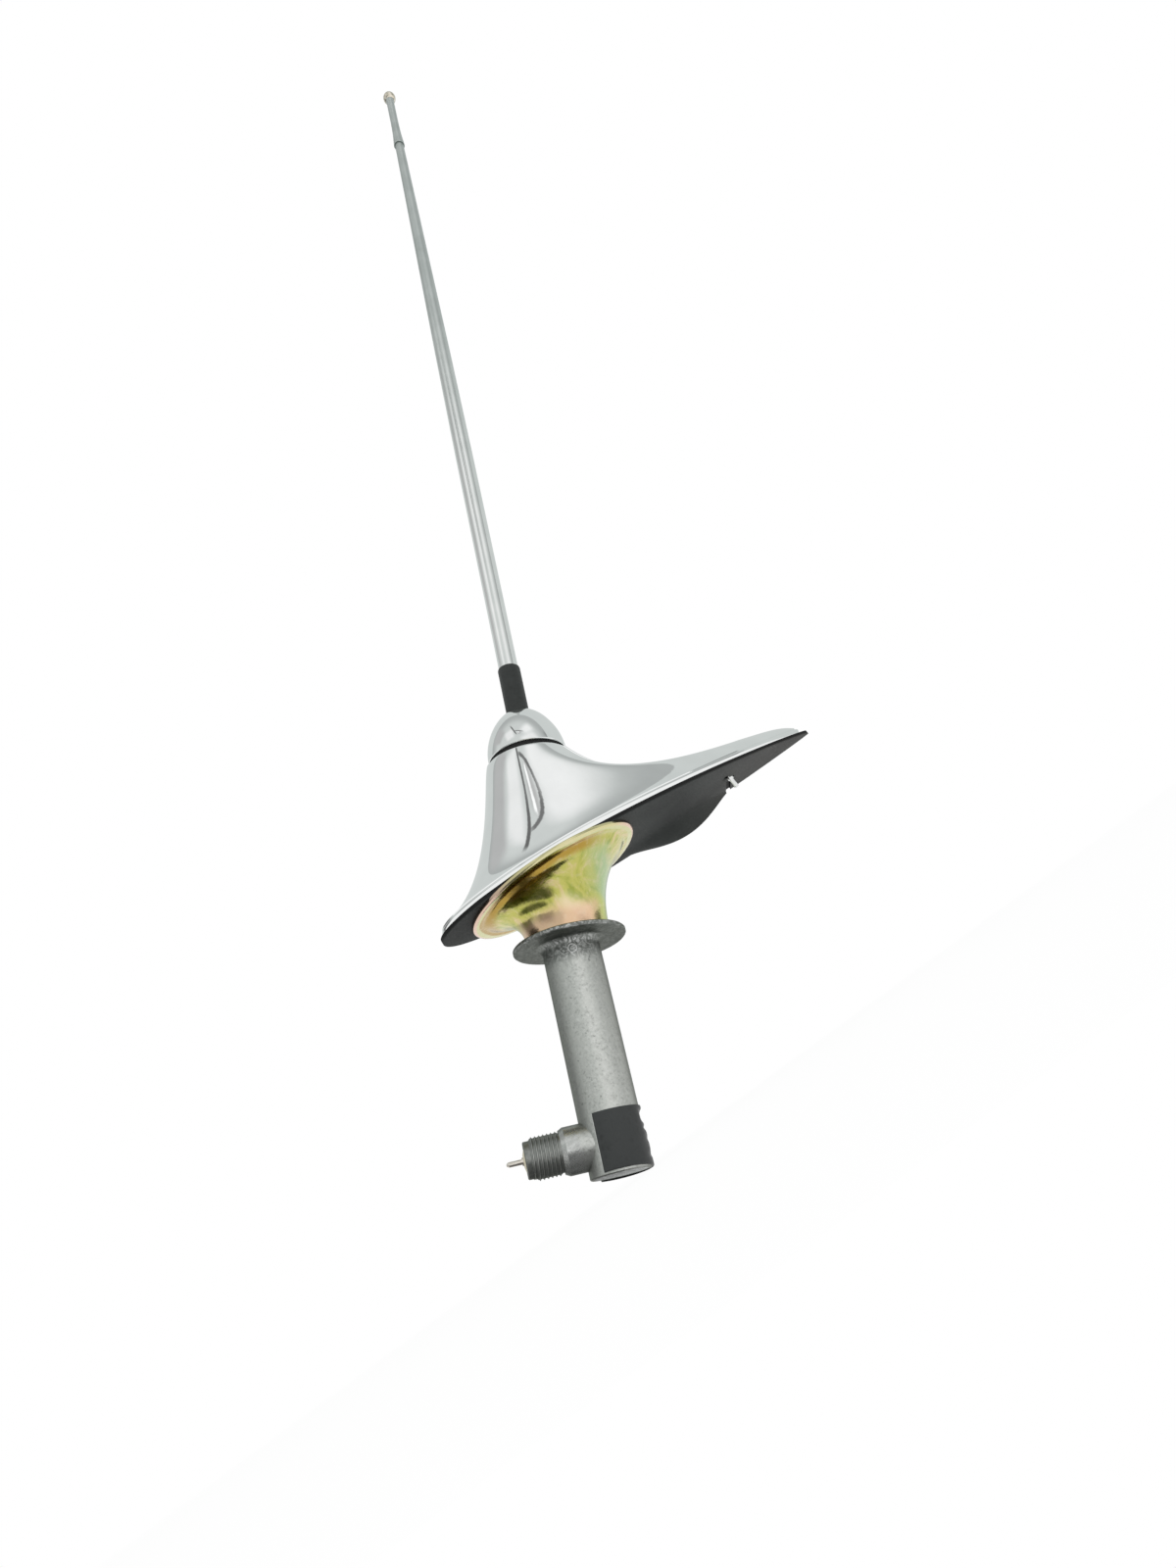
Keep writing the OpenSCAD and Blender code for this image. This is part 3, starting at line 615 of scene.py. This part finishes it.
def base_shell():
    crease, dip = crease_at(turn), dip_at(turn)
    lift = (crease - CREASE) / (CREASE - FOOT)
    rings = [outline(turn, inset, TAIL, z + lift * (z - FOOT)) for inset, z in RIM]
    steps = np.concatenate([
        np.linspace(0, 0.1, 7), np.linspace(0.1, 0.95, 60)[1:], np.linspace(0.95, 0.994, 5)[1:],
    ])
    rings += [side_ring(turn, t, CREASE_IN, crease, SEAM_R, SEAM_S) for t in steps]
    rings += [top_ring(turn, r, s) for r, s in (
        (SEAM_R - 0.12, SEAM_S - 0.05 - dip), (SEAM_R - 0.4, SEAM_S - dip),
        (SEAT_R + 0.1, SEAL_S - np.maximum(0, dip - (SEAM_S - SEAL_S))),
        (SEAT_R, SEAL_S - SEAT_DEPTH), (HOLE_R, SEAL_S - SEAT_DEPTH), (HOLE_R, SEAL_S - WALL),
    )]
    inner = (WALL + CREASE_IN, CREASE - 1.2, SEAM_R - WALL, SEAL_S - WALL)
    rings += [side_ring(turn, t, *inner) for t in np.linspace(1, 0, 25)]
    return ring_body([*rings, outline(turn, WALL, TAIL, FOOT)])


mesh("base_shell", base_shell(), "base", CHROME, ("teardrop_base",), 32)

STUD_X = 77.0
stud_profile = [
    (0.0, -4.1), (0.5, -4.1), (0.8, -3.95), (0.9, -3.7), (0.9, -0.9), (1.05, -0.6),
    (1.3, -0.3), (1.3, 1.6), (2.4, 1.6), (2.4, 8.4), (0.0, 8.4),
]
stud_frame = upright_frame(STUD_X, 0)
mesh("base_stud", lathe(stud_frame, stud_profile, 48), "base", STUD, (), 40)

# Cap nut: a turned dome with a spanner slot on either side

NUT_S, NUT_H, NUT_R, FLAT_R = 47.2, 18.0, 14.2, 5.6
NUT_BORE_R, NUT_MOUTH_R, NUT_ROOF_S = 8.78, 4.3, 60.2
SKIRT, ROUND = 1.6, 1.77
SLOT_DEPTH, SLOT_HALF, SLOT_TURN = 1.4, 1.7, radians(80)


def nut_dome():
    top = NUT_S + NUT_H
    dome_h = NUT_H - SKIRT
    full_h = dome_h / (1 - (FLAT_R / NUT_R) ** ROUND) ** (1 / ROUND)
    profile = [
        (NUT_BORE_R, NUT_S), (NUT_R - 0.45, NUT_S), (NUT_R - 0.2, NUT_S + 0.06),
        (NUT_R - 0.05, NUT_S + 0.2), (NUT_R, NUT_S + 0.45),
    ]
    for k in range(49):
        z = dome_h * sin(radians(90 * k / 48))
        profile.append((NUT_R * (1 - (z / full_h) ** ROUND) ** (1 / ROUND), NUT_S + SKIRT + z))
    profile += [
        (FLAT_R - 0.25, top), (NUT_MOUTH_R + 0.2, top - 0.05), (NUT_MOUTH_R, top - 0.3),
        (NUT_MOUTH_R, NUT_ROOF_S), (NUT_BORE_R, NUT_ROOF_S),
    ]
    return lathe(BODY_FRAME, profile, 192)


nut = raw_object("cap_nut_dome", *nut_dome())
slot_frame = (
    AXIS * (NUT_S + NUT_H - SLOT_DEPTH), cos(SLOT_TURN) * ACROSS + sin(SLOT_TURN) * SIDE,
    -sin(SLOT_TURN) * ACROSS + cos(SLOT_TURN) * SIDE, AXIS,
)
apply_cut(nut, [box_cutter(slot_frame, (-20, -SLOT_HALF, 0), (20, SLOT_HALF, 6))])
finish_piece(nut, "base", CHROME, ("cap_nut",), 32)

# Support cup: a trumpet from the casting's flange up to a rolled lip under the base

CUP_R, NECK_R, LIP_H, CUP_T, FLANGE_TOP, COLLAR_R = 32.0, 14.0, 1.5, 1.1, -22.2, 8.7
CUP_SHIFT, CUP_BORE_R = 0.6, COLLAR_R + 0.9
# The flare starts a little above the flange and ends a little inside the lip. Its curve leaves
# the neck along the axis, and comes to the lip from further in and lower down.
NECK_RISE, LIP_IN, PULL_UP, PULL_IN, PULL_DOWN = 1.4, 1.6, 0.5, 0.26, 0.06
# Swells of the wall: height, place and width along the flare
CUP_SWELLS = ((0.45, 0.885, 0.055), (-0.18, 0.76, 0.05))


def cup_rim(a, r, z):
    """A level ring, whose centre is a little nearer the nose than the body's axis."""
    return np.stack([r * np.cos(a) - CUP_SHIFT, r * np.sin(a), np.full_like(a, z)], -1)


def cup_flare(a, t, inset):
    """A ring at t on the flare, between the neck and the lip."""
    low = top_ring(a, NECK_R - inset, FLANGE_TOP + NECK_RISE)
    high = cup_rim(a, CUP_R - LIP_IN - inset, -LIP_H + inset)
    room = np.linalg.norm(high - low, axis=1)[:, None]
    low_handle = low + AXIS * room * PULL_UP
    high_handle = high * (1 - PULL_IN) + cup_rim(a, 0, -LIP_H + inset) * PULL_IN
    high_handle[:, 2] -= room[:, 0] * PULL_DOWN
    points = bezier(t, low, low_handle, high_handle, high)
    for height, middle, width in CUP_SWELLS:
        points[:, 2] += height * np.exp(-(((t - middle) / width) ** 2))
    return points


def cup_shell():
    rings = [top_ring(turn, r, s) for r, s in (
        (CUP_BORE_R, FLANGE_TOP), (NECK_R - 1.4, FLANGE_TOP), (NECK_R - 0.42, FLANGE_TOP + 0.42),
    )]
    rings += [cup_flare(turn, t, 0) for t in np.linspace(0, 1, 90)]
    rings += [cup_rim(turn, r, z) for r, z in (
        (CUP_R - 0.9, -LIP_H), (CUP_R - 0.35, -LIP_H + 0.15), (CUP_R, -LIP_H + 0.55),
        (CUP_R, -0.3), (CUP_R - 0.2, -0.05), (CUP_R - CUP_T, -0.02),
    )]
    rings += [cup_flare(turn, t, CUP_T) for t in np.linspace(1, 0, 40)]
    rings += [top_ring(turn, r, FLANGE_TOP + CUP_T) for r in (NECK_R - 1.95, CUP_BORE_R)]
    return ring_body(rings)


mesh("cup_shell", cup_shell(), "base", CUP, ("support_cup",), 40)

# Rubber pad: held under the base and round the cup, loose and sagging along its far edge

PAD_T, PAD_OVER, NOSE_OVER, PAD_HOLE = 1.48, 2.6, 1.5, 12.0
# It stays flat out to this far past the cup, but not over more than this share of its width
FLAT_PAST_CUP, FLAT_MOST = 3.0, 0.8
PAD_SAG, SAG_X, SAG_HALF, SAG_ALONG, SAG_OUT = 5.5, 59.0, 22.5, 1.5, 1.4
STUD_HOLE_R = 1.75
# Slits at the stud: their frame's x and turn, and their two corners
PAD_SLITS = (
    (STUD_X, 228, (0, -0.75, -9), (6, 0.75, 0.85)),
    (STUD_X - 0.9, -18, (-1.05, 0, -9.3), (1.05, 30, 0.8)),
)


def pad_ring(a, out, part, z):
    """A ring at part of the flat middle or, past that, out towards the loose edge."""
    edge = outline(a, 0, TAIL + PAD_OVER, 0)
    edge[:, 0] += np.minimum(0, NOSE_OVER * np.cos(a))
    hole = np.stack([PAD_HOLE * np.cos(a), PAD_HOLE * np.sin(a), np.zeros_like(a)], -1)
    room = np.linalg.norm(edge, axis=1) - PAD_HOLE
    flat = np.minimum(FLAT_MOST, (CUP_R + FLAT_PAST_CUP - PAD_HOLE) / room)[:, None]
    share = flat * part * (1 - out) + out
    along = (edge[:, 0] - SAG_X) / SAG_HALF
    sag = np.where(np.sin(a) > 0, PAD_SAG * np.maximum(0, 1 - along * along) ** SAG_ALONG, 0)
    points = hole * (1 - share) + edge * share
    points[:, 2] += z - sag * out**SAG_OUT
    return points


shares = [(0, 0), (0, 0.5)] + [(k / 14, 1) for k in range(15)]
rings = [pad_ring(turn, out, part, 0.0) for out, part in shares]
rings += [pad_ring(turn, out, part, PAD_T) for out, part in shares[::-1]]
pad = raw_object("pad_sheet", *ring_body(rings))
apply_cut(pad, [rod_cutter(stud_frame, STUD_HOLE_R, -10, 10)] + [
    box_cutter(upright_frame(x, degrees), low, high) for x, degrees, low, high in PAD_SLITS
])
finish_piece(pad, "base", PAD, ("rubber_pad",), 35)


def torn_lip():
    """A ragged sliver of rubber that hangs at the edge of the slit. Its lighter rubber is a painted
    highlight.
    """
    steps = 12
    rings = []
    for k in range(steps + 1):
        u = k / steps
        x, y = STUD_X - 1.2 - 3.0 * u, -1.35 - 0.25 * u
        # 3.14 is a little less than pi, which keeps the sine above 0
        drop = (0.15 + 0.5 * sin(3.14 * u) ** 0.6) * (1 - 0.25 * sin(9 * u))
        wide = 0.22 * (1 - 0.6 * u)
        rings.append([
            (x, y + wide, 0.1), (x, y - wide, 0.1),
            (x - 0.1, y - wide * 0.5, -drop), (x - 0.1, y + wide * 0.2, -drop),
        ])
    return np.array(rings).reshape(-1, 3), capped_faces(steps + 1, 4)


mesh("pad_torn_lip", torn_lip(), "base", TORN_LIP_HIGHLIGHT, (), 40)

# Turned pieces of the mast. It is straight up to TAPER_S, tapers gently to BEND_S and then more

MAST_R, BEND_R, TOP_R, TUBE_T, MAST_END = 3.675, 3.4, 2.2, 0.45, 0.25
MAST_FOOT_S, TAPER_S, BEND_S, TOP_S = 18, 195, 262, 420.4
BALL_S, BALL_R = 462.5, 3.25
SLEEVE_BORE_R, SLEEVE_R, SLEEVE_TOP = MAST_R + 0.04, 4.2, 86.0
SLEEVE_RIM_R, SLEEVE_LOW, SLEEVE_RIM_S = 6.1, 56.2, 58.6
LIP_S = TOP_S - 1.6

tube = [
    (MAST_R - TUBE_T, MAST_FOOT_S), (MAST_R, MAST_FOOT_S), (MAST_R, TAPER_S), (BEND_R, BEND_S),
]
for k in range(1, 13):
    tube.append((
        BEND_R + (TOP_R - BEND_R) * k / 12, BEND_S + (TOP_S - MAST_END - BEND_S) * k / 12))
tube += [
    (TOP_R - MAST_END, TOP_S), (TOP_R - TUBE_T, TOP_S), (BEND_R - TUBE_T, BEND_S),
    (MAST_R - TUBE_T, TAPER_S),
]
sleeve = [
    (SLEEVE_BORE_R, SLEEVE_LOW), (SLEEVE_RIM_R, SLEEVE_LOW), (SLEEVE_RIM_R, SLEEVE_RIM_S),
    (SLEEVE_R, SLEEVE_RIM_S), (SLEEVE_R, SLEEVE_TOP - 0.5), (SLEEVE_R - 0.12, SLEEVE_TOP - 0.15),
    (SLEEVE_R - 0.3, SLEEVE_TOP), (SLEEVE_BORE_R, SLEEVE_TOP),
]
cap = [
    (TOP_R + 0.05, LIP_S + 0.3), (2.45, LIP_S + 0.05), (2.68, LIP_S), (2.76, LIP_S + 0.15),
    (2.78, LIP_S + 0.5), (2.5, LIP_S + 5), (2.28, LIP_S + 9), (2.15, LIP_S + 12),
    (2.05, LIP_S + 17), (2.0, LIP_S + 22), (2.0, BALL_S - 5), (2.08, BALL_S - 4.2),
    (2.22, BALL_S - 3.3), (2.25, BALL_S - 2.9), (2.22, BALL_S - 2.45), (1.8, BALL_S - 2.76),
    (1.4, BALL_S - 2.99), (1.4, TOP_S + 0.6), (TOP_R + 0.25, TOP_S + 0.6),
    (TOP_R + 0.25, LIP_S + 0.7),
]
ball = [
    (BALL_R * sin(radians(v)), BALL_S - BALL_R * cos(radians(v))) for v in np.linspace(0, 180, 49)
]
ball[0], ball[-1] = (0.0, BALL_S - BALL_R), (0.0, BALL_S + BALL_R)

for name, profile, around, body, material, slot, node_name, sharp in (
    ("mast_outer", tube, 128, "base", MAST_STEEL, "polished_steel", "mast_tube", 30),
    ("sleeve_tube", sleeve, 96, "base", SLEEVE, "sleeve_plastic", "insulator_sleeve", 40),
    ("cap_skirt", cap, 96, "rod", MAST_STEEL, "polished_steel", "tip_cap", 40),
    ("ball_tip", ball, 64, "rod", BALL, "ball_nickel", "tip_ball", 60),
):
    shape = lathe(MAST_FRAME, profile, around)
    mesh(name, shape, body, material, (node_name,), sharp)

# Side connector: thread and contact

BOSS_REACH, BARREL, NOSE_L, CREST_R, PITCH = 16.2, 27.2, 1.8, 6.27, 1.22
FLANK_R, ROOT_R, SUNK_R = 5.96, 5.86, 5.55
THREAD_FROM, THREAD_TO = BOSS_REACH + 0.55, BARREL - NOSE_L - 0.35
PIN_FACE, PIN_TIP = BARREL + 0.9, 32.8


def thread():
    """A helical ridge on the barrel, which sinks into it over a quarter turn at either end."""
    per_turn = 96
    count = int((THREAD_TO - THREAD_FROM) / PITCH * per_turn)
    half = 0.5 * PITCH
    shape = (
        (SUNK_R, -half), (ROOT_R, -half), (FLANK_R, -0.24), (CREST_R - 0.03, -0.10),
        (CREST_R, 0.0), (CREST_R - 0.03, 0.10), (FLANK_R, 0.24), (ROOT_R, half), (SUNK_R, half),
    )
    inner = SUNK_R - 0.05
    points = []
    for k in range(count + 1):
        a = 2 * np.pi * k / per_turn
        reach = THREAD_FROM + PITCH * k / per_turn
        fade = min(1.0, 4 * k / per_turn, 4 * (count - k) / per_turn)
        for r, off in shape:
            r = inner + (r - inner) * fade
            points.append(place(CONNECTOR_FRAME, r * cos(a), r * sin(a), reach + off))
    return np.array(points), capped_faces(count + 1, len(shape))


mesh("barrel_thread", thread(), "base", ZINC, (), 25)

pin = [
    (0.0, 10), (1.19, 10), (1.19, 7), (1.9, 7), (1.9, 13), (1.25, 13), (1.25, PIN_FACE),
    (0.8, PIN_FACE), (0.8, PIN_TIP - 0.8), (0.72, PIN_TIP - 0.5), (0.5, PIN_TIP - 0.15),
    (0.24, PIN_TIP), (0.0, PIN_TIP),
]
pin_shape = lathe(CONNECTOR_FRAME, pin, 48)
mesh("pin_contact", pin_shape, "base", NICKEL, ("contact_pin",), 40)

# Wrap round the lower end, sunk a little where it spans the window of the casting. Its ends and
# the window are in degrees from the connector, and its lower edge is slanted.

WRAP_FROM, WRAP_TO, WRAP_TOP, WRAP_LOW, WRAP_R, WRAP_T = 55.5, 304.5, -77.8, -95.2, 10.06, 0.40
WRAP_SLANT, SLANT_AT = 0.07, radians(10)
WINDOW_AT, WINDOW_HALF, WINDOW_LOW, WINDOW_TOP = 178, 24, -93.2, -78.5
# Dents over the window: depth, place, width and power
WRAP_DENTS = (
    (0.95, -80.9, 1.9, 3), (0.5, -84.3, 0.8, 2), (0.22, -87.6, 0.7, 2), (0.25, -92.0, 1.2, 2),
)
LINER_R, LINER_DEGREES, LINER_S = (9.45, 9.78), (53.4, 55.3), (-94.6, -77.9)


def wrap_sheet():
    loops = []
    up = np.linspace(0, 1, 70)
    for degrees in np.linspace(WRAP_FROM, WRAP_TO, 170):
        a = CONNECTOR_AZ + radians(degrees)
        low = WRAP_LOW - WRAP_SLANT * WRAP_R * sin(a + SLANT_AT)
        s = low + (WRAP_TOP - low) * up
        over = np.exp(-((degrees - WINDOW_AT) / WINDOW_HALF) ** 4)
        over = over * np.clip((s - WINDOW_LOW) / 0.8, 0, 1) * np.clip((WINDOW_TOP - s) / 0.6, 0, 1)
        dent = sum(
            depth * np.exp(-(np.abs(s - at) / width) ** power)
            for depth, at, width, power in WRAP_DENTS
        )
        outer = WRAP_R - dent * over
        outer[[0, -1]] -= 0.1
        inner = outer - WRAP_T
        loops.append(np.concatenate([on_tube(outer, degrees, s), on_tube(inner, degrees, s)[::-1]]))
    n = 2 * len(up)
    faces = grid_faces(len(loops), n)
    last = (len(loops) - 1) * n
    for i in range(len(up) - 1):
        faces.append((i, i + 1, n - 2 - i, n - 1 - i))
        faces.append((last + i + 1, last + i, last + n - 1 - i, last + n - 2 - i))
    return np.concatenate(loops), faces


def liner_bar():
    """A thin upright bar on the tube, beside the end of the wrap."""
    (r0, r1), (d0, d1) = LINER_R, LINER_DEGREES
    corners = ((r0, d0), (r1, d0), (r1, d1), (r0, d1))
    points = [on_tube(r, degrees, s) for s in LINER_S for r, degrees in corners]
    faces = [(0, 1, 5, 4), (1, 2, 6, 5), (2, 3, 7, 6), (3, 0, 4, 7), (3, 2, 1, 0), (4, 5, 6, 7)]
    return points, faces


mesh("wrap_liner", liner_bar(), "base", LINER, (), 30)
mesh("wrap_sheet", wrap_sheet(), "base", WRAP, ("window_cover",), 40)

# Camera, at the photograph's viewing angle

camera_data = bpy.data.cameras.new("camera")
camera_data.sensor_width = 36
camera_data.lens = 22.5
camera_data.clip_start = 0.02
camera = new_object("camera", camera_data)
camera.matrix_world = Matrix((
    (0.82127, 0.44393, -0.3584, -0.09544),
    (-0.12968, -0.46648, -0.87497, -0.30643),
    (-0.55561, 0.76506, -0.32554, -0.08952),
    (0, 0, 0, 1),
))
bpy.context.scene.camera = camera

# Studio round the object: an open side, a plain wall side, and panels. They light the object
# and show in its chrome, while the camera and rays that pass through see white.

WALL_DIRECTION = (0.468, 0.851, -0.238)
WALL_EDGE, OPEN_FADE = (-0.006, 0.006), (-0.50, -0.10)
WALL_COLOR, OPEN_COLOR, OPEN_DARK = (0.655, 0.685, 0.675), (0.685, 0.71, 0.70), (0.46, 0.48, 0.475)
WHITE = (1, 1, 1)
# Panels: azimuth, elevation, half width, half height, turn, value and softness of the edge.
# Angles are in degrees, and half sizes are tangents.
OPEN_PANELS = (
    (165, 66, 0.24, 0.20, 0, 0.52, 0.4),
    (355, 2, 0.42, 0.30, 0, 0.16, 0.5),
    (215, 5, 0.40, 0.30, 0, 0.36, 0.6),
    (283, 6, 0.36, 0.50, 0, 0.95, 0.4),
    (298, 43, 0.20, 0.17, 0, 0.98, 0.7),
    (236, 58, 0.17, 0.20, 0, 0.93, 0.45),
    (272, 47, 0.065, 0.07, 0, 0.56, 0.5),
    (271, 49.5, 0.020, 0.026, 0, 1.15, 0.5),
    (261, 62, 0.022, 0.24, 0, 0.16, 0.4),
    (275, 51.8, 0.016, 0.17, 38, 0.20, 0.4),
)
WALL_PANELS = (
    (152, 10, 0.40, 0.42, 0, 0.20, 0.5),
    (62, 22, 0.22, 0.10, 0, 1.0, 0.2),
)


def studio():
    world = bpy.data.worlds.new("studio")
    bpy.context.scene.world = world
    world.use_nodes = True
    t = world.node_tree
    ray = add(t, "ShaderNodeTexCoord").outputs["Generated"]

    def panel(color, azimuth, elevation, wide, high, degrees, value, soft):
        a, e, roll = radians(azimuth), radians(elevation), radians(degrees)
        c, s = cos(roll), sin(roll)
        ahead = Vector((cos(a) * cos(e), sin(a) * cos(e), sin(e)))
        side = Vector((0, 0, 1)).cross(ahead).normalized()
        up = ahead.cross(side)
        near = calc(t, "MAXIMUM", dot(t, ray, ahead), 0.02)
        masks = []
        for direction, half in ((side * c + up * s, wide), (up * c - side * s, high)):
            off = calc(t, "DIVIDE", calc(t, "ABSOLUTE", dot(t, ray, direction)), near)
            masks.append(span(t, off, half * (1 - soft), half * (1 + soft), 1, 0))
        return mix(t, times(t, *masks), color, (value,) * 3)

    wall = dot(t, ray, WALL_DIRECTION)
    color = mix(t, span(t, wall, *OPEN_FADE), OPEN_COLOR, OPEN_DARK)
    for row in OPEN_PANELS:
        color = panel(color, *row)
    color = mix(t, span(t, wall, *WALL_EDGE), color, WALL_COLOR)
    for row in WALL_PANELS:
        color = panel(color, *row)
    rays = add(t, "ShaderNodeLightPath").outputs
    seen = calc(t, "MAXIMUM", rays["Is Camera Ray"], rays["Is Transmission Ray"])
    back = t.nodes["Background"]
    t.links.new(mix(t, seen, color, WHITE), back.inputs["Color"])
    back.inputs["Strength"].default_value = 1.0


studio()

# Floor. It is white to the camera, and keeps some of the object's shadow near it. Its darker
# patches show in reflections alone.

FLOOR_HALF, FLOOR_Z = 6.0, -0.0927
SHADOW_FADE = (0.12, 0.50)
# Patches: x, y, half width, half depth and value
FLOOR_PATCHES = (
    (-0.061, -0.034, 0.035, 0.072, 0.12), (-0.02, 0.105, 0.045, 0.022, 0.06),
    (0.95, 0.0, 0.50, 0.26, 0.14), (-0.185, -0.045, 0.085, 0.150, 0.16),
)


def floor():
    data = bpy.data.meshes.new("floor")
    signs = ((-1, -1), (1, -1), (1, 1), (-1, 1))
    corners = [(x * FLOOR_HALF, y * FLOOR_HALF, FLOOR_Z) for x, y in signs]
    data.from_pydata(corners, [], [(0, 1, 2, 3)])
    obj = new_object("floor", data)
    m, t, s, where = new_material("floor_paint")
    s.inputs["Base Color"].default_value = (0.97, 0.97, 0.97, 1)
    s.inputs["Roughness"].default_value = 0.9
    s.inputs["Specular IOR Level"].default_value = 0.0
    tone = WHITE
    for x, y, wide, high, value in FLOOR_PATCHES:
        off = add(t, "ShaderNodeMapping", {
            "Vector": where, "Location": (-x / wide, -y / high, 0),
            "Scale": (1 / wide, 1 / high, 0),
        }).outputs["Vector"]
        tone = mix(t, span(t, length(t, off), 0.7, 1.12, 1, 0), tone, (value,) * 3)
    rays = add(t, "ShaderNodeLightPath").outputs
    tone = mix(t, rays["Is Glossy Ray"], WHITE, tone)
    shown = calc(t, "MAXIMUM", rays["Is Glossy Ray"], rays["Is Transmission Ray"])
    shown = calc(t, "MAXIMUM", rays["Is Camera Ray"], shown)
    share = times(t, shown, span(t, length(t, where), *SHADOW_FADE, 0.95, 1.0))
    glow = add(t, "ShaderNodeEmission", {"Color": tone, "Strength": 1.0}).outputs[0]
    blend = add(t, "ShaderNodeMixShader", {0: share, 1: s.outputs[0], 2: glow})
    t.links.new(blend.outputs[0], t.nodes["Material Output"].inputs["Surface"])
    data.materials.append(m)


floor()

LAMP_AIM = Vector((0, 0, 0.05))
lamp_data = bpy.data.lights.new("key", "AREA")
lamp_data.energy = 4.0
lamp_data.size = 0.8
lamp = new_object("key", lamp_data)
lamp.location = (-0.35, -1.0, 0.55)
lamp.rotation_mode = "QUATERNION"
lamp.rotation_quaternion = (Vector(lamp.location) - LAMP_AIM).to_track_quat("Z", "Y")
lamp.visible_glossy = False

bpy.context.scene.view_settings.view_transform = "Standard"
